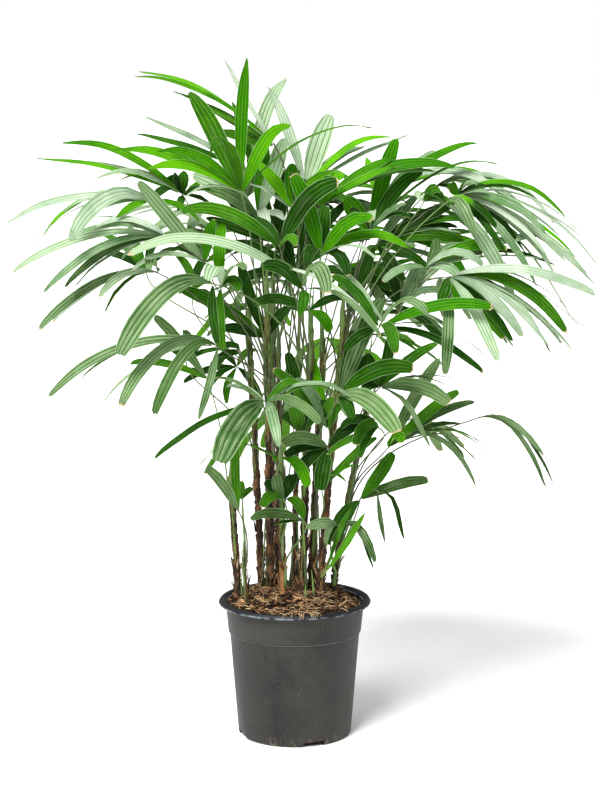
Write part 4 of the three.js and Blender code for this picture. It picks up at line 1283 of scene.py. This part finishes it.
# Spears: each cane ends in next year's frond, still rolled up, and new shoots come out of the mix.
SPEAR_LENGTHS = (0.05, 0.13)
SPEAR_FLAT = 0.9
SHOOTS = (                          # across, back, length
    (0.022, -0.030, 0.230), (0.040, 0.000, 0.270), (0.008, -0.012, 0.190), (-0.086, -0.046, 0.115),
    (-0.095, -0.012, 0.060), (0.020, -0.060, 0.035), (0.036, -0.052, 0.060), (-0.010, 0.010, 0.120),
    (0.010, 0.070, 0.090), (0.050, 0.060, 0.260), (-0.060, 0.030, 0.210),
)
for name in cane_names:
    cane = canes[name]
    start, length = cane.middle(cane.top - 0.03), chance.uniform(*SPEAR_LENGTHS)
    lean = Vector((chance.uniform(-0.12, 0.12), chance.uniform(-0.12, 0.12), 1)) * length
    path = [start + UP * 0.04 * t for t in (0, 0.5, 1)]
    path += [path[2] + lean * t for t in (0.5, 1)]
    width = 2.2 * cane.radius(cane.top)
    stalks.rod(path, (width * 0.7, width, width * 0.8, width * 0.4, 0.0008), SPEAR_FLAT, STALK_SIDES)
for x, y, length in SHOOTS:
    lean = Vector((chance.uniform(-0.1, 0.1), chance.uniform(-0.1, 0.1), 1)) * length
    foot = Vector((x, y, ground(x, y) - 0.008))
    shoot = [foot + lean * t for t in (0, 0.3, 0.65, 1)]
    husk = [foot + lean * t for t in (0, 0.16, 0.30, 0.38)]
    shade = either((0, 1), (3, 2))
    stalks.rod(shoot, (0.0046, 0.0040, 0.0030, 0.0008), SPEAR_FLAT, STALK_SIDES, tone=shade)
    stalks.rod(husk, (0.0066, 0.0058, 0.0050, 0.0034), SPEAR_FLAT, STALK_SIDES, tone=2)
stalks.piece("petioles", [stalk_green, stalk_lime, stalk_brown], "leaf")


# ---- Fans of leaf fingers -----------------------------------------------------------------------
# Each frond opens into a fan of stiff, pleated blades, cut apart almost down to the knob: a strap
# with a handful of lengthwise ribs, blunt and toothed at its tip, where it dries to tan.

BLADE_THICKNESS = 0.0005
NARROW_BLADE = 0.021                # below this width a blade has three ribs, from it on four
ROW_SPACING = 0.0155
PLEAT = 0.13                        # depth of a fold as a share of the space between folds
OUTLINE_STATIONS = (0, 0.06, 0.16, 0.30, 0.46, 0.62, 0.78, 0.91, 1)
POINTED = (0.08, 0.20, 0.48, 0.80, 1.00, 0.97, 0.76, 0.42, 0.12)
STRAP = (0.08, 0.22, 0.56, 0.86, 0.97, 1.00, 0.97, 0.86, 0.56)


def outline_at(t, blunt):
    """The half-width of a finger along its length, as a share of its greatest."""
    shares = (1 - blunt) * np.array(POINTED) + blunt * np.array(STRAP)
    near = (np.interp(np.clip(t + d, 0, 1), OUTLINE_STATIONS, shares) for d in (0, 0.03, -0.03))
    fit, ahead, behind = near
    return (2 * fit + ahead + behind) / 4


def unit(rows):
    return rows / np.linalg.norm(rows, axis=-1, keepdims=True)


def grid_of(finger, chance, blunt):
    """The top side of one finger as rows and columns of points, and the directions out of its face."""
    steps = [0.0] + [(b - a).length for a, b in zip(finger.middles, finger.middles[1:])]
    length = sum(steps)
    times = np.cumsum(steps) / length
    line = cubic_through(times, finger.middles)
    columns = 2 * (3 if finger.width < NARROW_BLADE else 4) + 1
    rows = max(9, round(length / ROW_SPACING))
    t = np.concatenate([[0.035, 0.07], np.linspace(0.12, 0.93, rows - 4), [0.965, 0.985, 1.0]])
    u = np.linspace(-1, 1, columns)
    # The teeth: each fold ends a little before or after its neighbours, and the corners are cut back.
    teeth = np.array([chance.uniform(0, 0.016) for _ in range(columns)])
    cut = (0.045 - 0.03 * blunt) * np.abs(u) ** 2 + teeth
    near_tip = np.clip((t - 0.72) / 0.28, 0, 1) ** 1.5
    middle = along_cubic(line, t[:, None] * (1 - cut[None, :] * near_tip[:, None]))
    slope = unit(np.stack([np.polyval(np.polyder(line[:, k]), t) for k in range(3)], axis=-1))
    across = np.stack([np.interp(t, times, [a[k] for a in finger.acrosses]) for k in range(3)], axis=-1)
    across = unit(across - slope * np.sum(across * slope, axis=-1, keepdims=True))
    above = np.cross(across, slope)
    half = 0.5 * finger.width * outline_at(t, blunt)
    space = 2 * half / (columns - 1)
    fold = np.where(np.arange(columns) % 2 == 0, 1.0, -1.0)
    pleats = chance.uniform(0.6, 1.3) * PLEAT * space[:, None] * fold[None, :] * (1.4 - 0.6 * t[:, None])
    trough = -half[:, None] * (1 - u[None, :] ** 2) * (0.34 * (1 - t[:, None]) ** 1.5 + 0.08)
    ripple = np.sin(t * chance.uniform(9, 15) + chance.uniform(0, 6))
    wave = 0.0014 * ripple[:, None] * u[None, :] ** 2 * t[:, None]
    sway = chance.uniform(-0.006, 0.006) * np.sin(math.pi * t)
    nod = -chance.uniform(0.0, 0.012) * t ** 4
    points = middle + across[:, None, :] * (half[:, None] * u[None, :] + sway[:, None])[..., None]
    points += above[:, None, :] * (pleats + trough + wave)[..., None]
    points[..., 2] += nod[:, None]
    return points, np.repeat(above[:, None, :], columns, axis=1), t, u


def blade(heap, points, above, t, u, tone, tip_tone, tint):
    """Adds a finger to a heap as a thin closed leaf: top, underside and rim."""
    rows, columns = points.shape[:2]
    top = (points + above * BLADE_THICKNESS / 2).reshape(-1, 3)
    under = (points - above * BLADE_THICKNESS / 2).reshape(-1, 3)
    ribs = (columns - 1) / 2
    marks = [(float(0.5 + a / 2), float(b), tint, float((0.5 + a / 2) * ribs)) for b in t for a in u]
    faces, tones = [], []
    low = rows * columns
    for i in range(rows - 1):
        dry = tip_tone is not None and i >= rows - 2
        for a in range(i * columns, (i + 1) * columns - 1):
            b = a + columns
            faces += [(a, a + 1, b + 1, b), (low + a, low + b, low + b + 1, low + a + 1)]
            tones += [tip_tone, tip_tone] if dry else [tone, tone + 1]
        left, right = i * columns, (i + 1) * columns - 1
        for a, b in ((left, left + columns), (right + columns, right)):
            faces.append((a, b, low + b, low + a))
            tones.append(tip_tone if dry else tone)
    for a in range(columns - 1):
        b = (rows - 1) * columns + a
        faces += [(a, low + a, low + a + 1, a + 1), (b + 1, low + b + 1, low + b, b)]
        tones += [tone, tone if tip_tone is None else tip_tone]
    heap.add([tuple(p) for p in np.concatenate([top, under])], faces, tones, marks * 2)


THREADS = 3.0                       # fine veins from one rib to the next


def vein_group():
    """The lengthwise ribs of a blade as masks of pale and dark lines, with a painted highlight on their
    crests, painted shade in their grooves and a painted sheen at the rims, and the height of its veins.
    """
    group = bpy.data.node_groups.new("blade_veins", "ShaderNodeTree")
    for name in ("Crest_Highlight", "Groove_Shade", "Threads", "Streaks", "Rim_Sheen", "Height"):
        group.interface.new_socket(name, in_out="OUTPUT", socket_type="NodeSocketFloat")
    wires = Wiring(group)
    given = wires.add("NodeGroupOutput").inputs
    fold = wires.add("ShaderNodeAttribute", attribute_name="fold").outputs["Fac"]
    ridge = wires.maths("COSINE", wires.times(fold, math.tau))
    # Painted highlight on the crests of the folds, and painted shade in their grooves.
    wires.feed(given["Crest_Highlight"], wires.band(ridge, 0.70, 1.0))
    wires.feed(given["Groove_Shade"], wires.band(ridge, -0.55, -0.95))
    fine = wires.maths("SINE", wires.times(wires.times(fold, THREADS), math.tau))
    wires.feed(given["Height"], fine)
    wires.feed(given["Threads"], wires.band(fine, 0.35, 1.0))
    along = wires.add("ShaderNodeUVMap", uv_map="blade").outputs[0]
    drawn = wires.add("ShaderNodeMapping", {"Vector": along, "Scale": (26, 3, 1)}).outputs[0]
    streaks = wires.add("ShaderNodeTexNoise", {"Vector": drawn, "Scale": 1.0, "Detail": 4.0}).outputs[0]
    wires.feed(given["Streaks"], wires.band(streaks, 0.50, 0.66))
    # A painted sheen along the rims of the blade.
    wires.feed(given["Rim_Sheen"], wires.band(wires.away(wires.axis(along, 0), 0.5), 0.44, 0.49))
    return group


blade_veins = vein_group()
WORN_STREAK = (0.540, 0.580, 0.400)
LEAF_SHEEN = (0.60, 1.00, 0.30)
# painted sheen: the light that the rims of the blades catch
LEAF_RIM_SHEEN = (0.440, 0.620, 0.300)


def leaf_finish(name, deep, fresh, glow, passed, rough, streak, folds):
    """A leaf's face: two greens that shift over it, a painted highlight on its ribs and painted shade in
    its grooves, a painted sheen at its rims, a waxy sheen, and light let through.
    """
    made = Finish(name)
    veins = made.add("ShaderNodeGroup", node_tree=blade_veins).outputs
    tint = made.add("ShaderNodeAttribute", attribute_name="tint").outputs["Fac"]
    made.give("Base Color", made.layered(
        deep,
        (made.band(made.plus(made.speckle(14.0), tint), 0.35, 0.80), fresh),
        # Rib crests take the shone-through green as a painted highlight, grooves the deep as painted shade.
        (made.times(veins["Crest_Highlight"], 0.30), glow),
        (made.times(veins["Streaks"], streak), WORN_STREAK),
        (made.times(veins["Threads"], 0.5 * folds), deep),
        (made.times(veins["Groove_Shade"], folds), deep),
        # A painted sheen along the rims.
        (made.times(veins["Rim_Sheen"], 0.42), LEAF_RIM_SHEEN),
    ))
    made.give("Roughness", made.band(made.speckle(60.0, 4.0), 0.3, 0.7, rough - 0.06, rough + 0.08))
    made.give("Specular IOR Level", 0.09)
    made.give("Specular Tint", LEAF_SHEEN)
    made.emboss(veins["Height"], 0.00015)
    through = made.add("ShaderNodeBsdfTranslucent", {"Color": glow})
    both = made.add("ShaderNodeMixShader", {0: passed, 1: made.shader.outputs[0], 2: through.outputs[0]})
    made.feed(made.tree.nodes["Material Output"].inputs["Surface"], both.outputs[0])
    return made


# The greens are one leaf colour painted as the light leaves it: bright is painted light let through, mint
# and pale a painted sheen of the white surround, deep painted shade, fresh, dull and soft between.
LIT_AND_SHADED_GREENS = {                     # deep, fresh and shone-through, then how streaks and folds show
    "bright": ((0.012, 0.120, 0.000), (0.124, 0.440, 0.003), (0.340, 0.700, 0.012), 0.04, 0.40),
    "fresh": ((0.006, 0.062, 0.000), (0.070, 0.255, 0.006), (0.210, 0.500, 0.012), 0.10, 0.50),
    "deep": ((0.001, 0.022, 0.000), (0.018, 0.104, 0.002), (0.090, 0.280, 0.008), 0.12, 0.65),
    "dull": ((0.036, 0.095, 0.020), (0.210, 0.340, 0.140), (0.250, 0.430, 0.090), 0.40, 0.85),
    "soft": ((0.014, 0.056, 0.008), (0.235, 0.375, 0.175), (0.260, 0.450, 0.110), 0.55, 0.95),
    "mint": ((0.055, 0.145, 0.048), (0.530, 0.670, 0.450), (0.430, 0.630, 0.340), 0.45, 0.90),
    "pale": ((0.150, 0.250, 0.140), (0.720, 0.810, 0.670), (0.550, 0.690, 0.470), 0.30, 0.80),
}
PAINTED_SHEEN_LIFT = {"soft": 0.06, "mint": 0.10, "pale": 0.12}     # how much more painted sheen these take
leaf_finishes, tone_of = [], {}
for name, (deep, fresh, glow, streak, folds) in LIT_AND_SHADED_GREENS.items():
    tone_of[name] = len(leaf_finishes)
    # Undersides are paler, and a quarter shone-through green is mixed in: painted light let through.
    under = [0.75 * f + 0.25 * g for f, g in zip(fresh, glow)]
    leaf_finishes += [
        leaf_finish(f"{name}_leaf_top", deep, fresh, glow, 0.26, 0.36, streak, folds),
        leaf_finish(f"{name}_leaf_underside", fresh, under, glow, 0.30, 0.55, streak, folds),
    ]
TIP_TONE = len(leaf_finishes)
leaf_finishes.append(crumbly("dry_leaf_tip", (0.260, 0.190, 0.090), (0.560, 0.450, 0.240), 200))


def mood(hub):
    """How likely each green is by a fan's place, as painted light: brightest where the crown is thin and
    high and light shines through, with more painted sheen at the sides.
    """
    if hub.z < 0.65:
        return {"fresh": 4, "deep": 4, "dull": 1, "soft": 2}
    if hub.x < -0.12:
        return {"bright": 1, "fresh": 2, "dull": 1, "soft": 3, "mint": 3}
    if hub.x > 0.14:
        return {"bright": 3, "fresh": 3, "deep": 1, "soft": 2, "mint": 3}
    return {"bright": 4, "fresh": 4, "deep": 3, "soft": 1}


MARGIN = 0.0012                     # the least room to the sides of the frame's own box
low_corner = np.array(cad_box[0]) + MARGIN
high_corner = np.array(cad_box[1]) - MARGIN
heaps = {name: Heap() for name in cane_names}
for name, frond in fronds.items():
    chance = random.Random(name)
    weights = mood(frond.hub)
    usual = either(list(weights), list(weights.values()))
    for finger in frond.fingers:
        blunt = chance.uniform(0, 0.3) + 0.4 * smooth_step(0.022, 0.034, finger.width)
        blunt += 0.7 * smooth_step(1.02, 0.80, frond.hub.z) * smooth_step(0.011, 0.018, finger.width)
        points, above, t, u = grid_of(finger, chance, min(1.0, blunt))
        points = np.clip(points, low_corner, high_corner)
        dry = frond.hub.z < 0.9 and chance.random() < 0.4
        green = finger.green or usual
        tint = chance.uniform(-0.20, 0.26) + PAINTED_SHEEN_LIFT.get(green, 0)
        tip_tone = TIP_TONE if dry else None
        blade(heaps[frond.cane_name], points, above, t, u, tone_of[green], tip_tone, tint)
for number, name in enumerate(cane_names, 1):
    carried = [frond_name for frond_name in frond_names if fronds[frond_name].cane_name == name]
    heaps[name].piece(f"fans_{number:02d}", leaf_finishes, "leaf", *carried, crease=24)


# ---- Floor, light and camera --------------------------------------------------------------------
# A white studio: the pot stands on a wide sheet of paper in an even white surround, with one broad
# soft light from above, in front and to the left. The camera looks a little down from in front.

FLOOR_SIZE = 400
DULL_WHITE, FULL_WHITE = (0.86, 0.86, 0.86), (0.90, 0.90, 0.90)
LIGHT_STRENGTH = 5.3
LIGHT_SPREAD = math.radians(26)     # how wide the soft light looks from the plant
TOWARDS_LIGHT = (-0.40, -0.75, 1)

bpy.ops.mesh.primitive_plane_add(size=FLOOR_SIZE, location=(0, 0, 0))
floor = bpy.context.object
floor.name = "studio_floor"
paper = Finish("white_paper")
paper.give("Base Color", paper.blend(paper.speckle(3.0, 2.0), DULL_WHITE, FULL_WHITE))
paper.give("Roughness", 0.9)
floor.data.materials.append(paper.material)

world = bpy.data.worlds.new("studio")
world.use_nodes = True
studio = Wiring(world.node_tree)
ray = studio.add("ShaderNodeLightPath").outputs
upward = studio.axis(studio.add("ShaderNodeTexCoord").outputs["Generated"], 2)
in_shine = studio.band(ray["Is Glossy Ray"], 0, 1, 1, 0.75)
surround = studio.times(studio.band(upward, -0.3, 0.9, 0.17, 0.96), in_shine)
background = world.node_tree.nodes["Background"].inputs
studio.feed(background["Strength"], studio.maths("MAXIMUM", ray["Is Camera Ray"], surround))
studio.feed(background["Color"], (1, 1, 1))
bpy.context.scene.world = world

sun = bpy.data.lights.new("softbox", "SUN")
sun.energy = LIGHT_STRENGTH
sun.angle = LIGHT_SPREAD
softbox = bpy.data.objects.new("softbox", sun)
softbox.rotation_euler = Vector(TOWARDS_LIGHT).to_track_quat("Z", "Y").to_euler()
bpy.context.scene.collection.objects.link(softbox)

bpy.context.scene.view_settings.view_transform = "Standard"
lens = bpy.data.cameras.new("studio_view")
lens.lens = VIEW_LENS
lens.sensor_width = VIEW_FILM
camera = bpy.data.objects.new("studio_view", lens)
camera.location = VIEW_PLACE
camera.rotation_euler = (math.pi / 2 - VIEW_TILT, 0, 0)
bpy.context.scene.collection.objects.link(camera)
bpy.context.scene.camera = camera
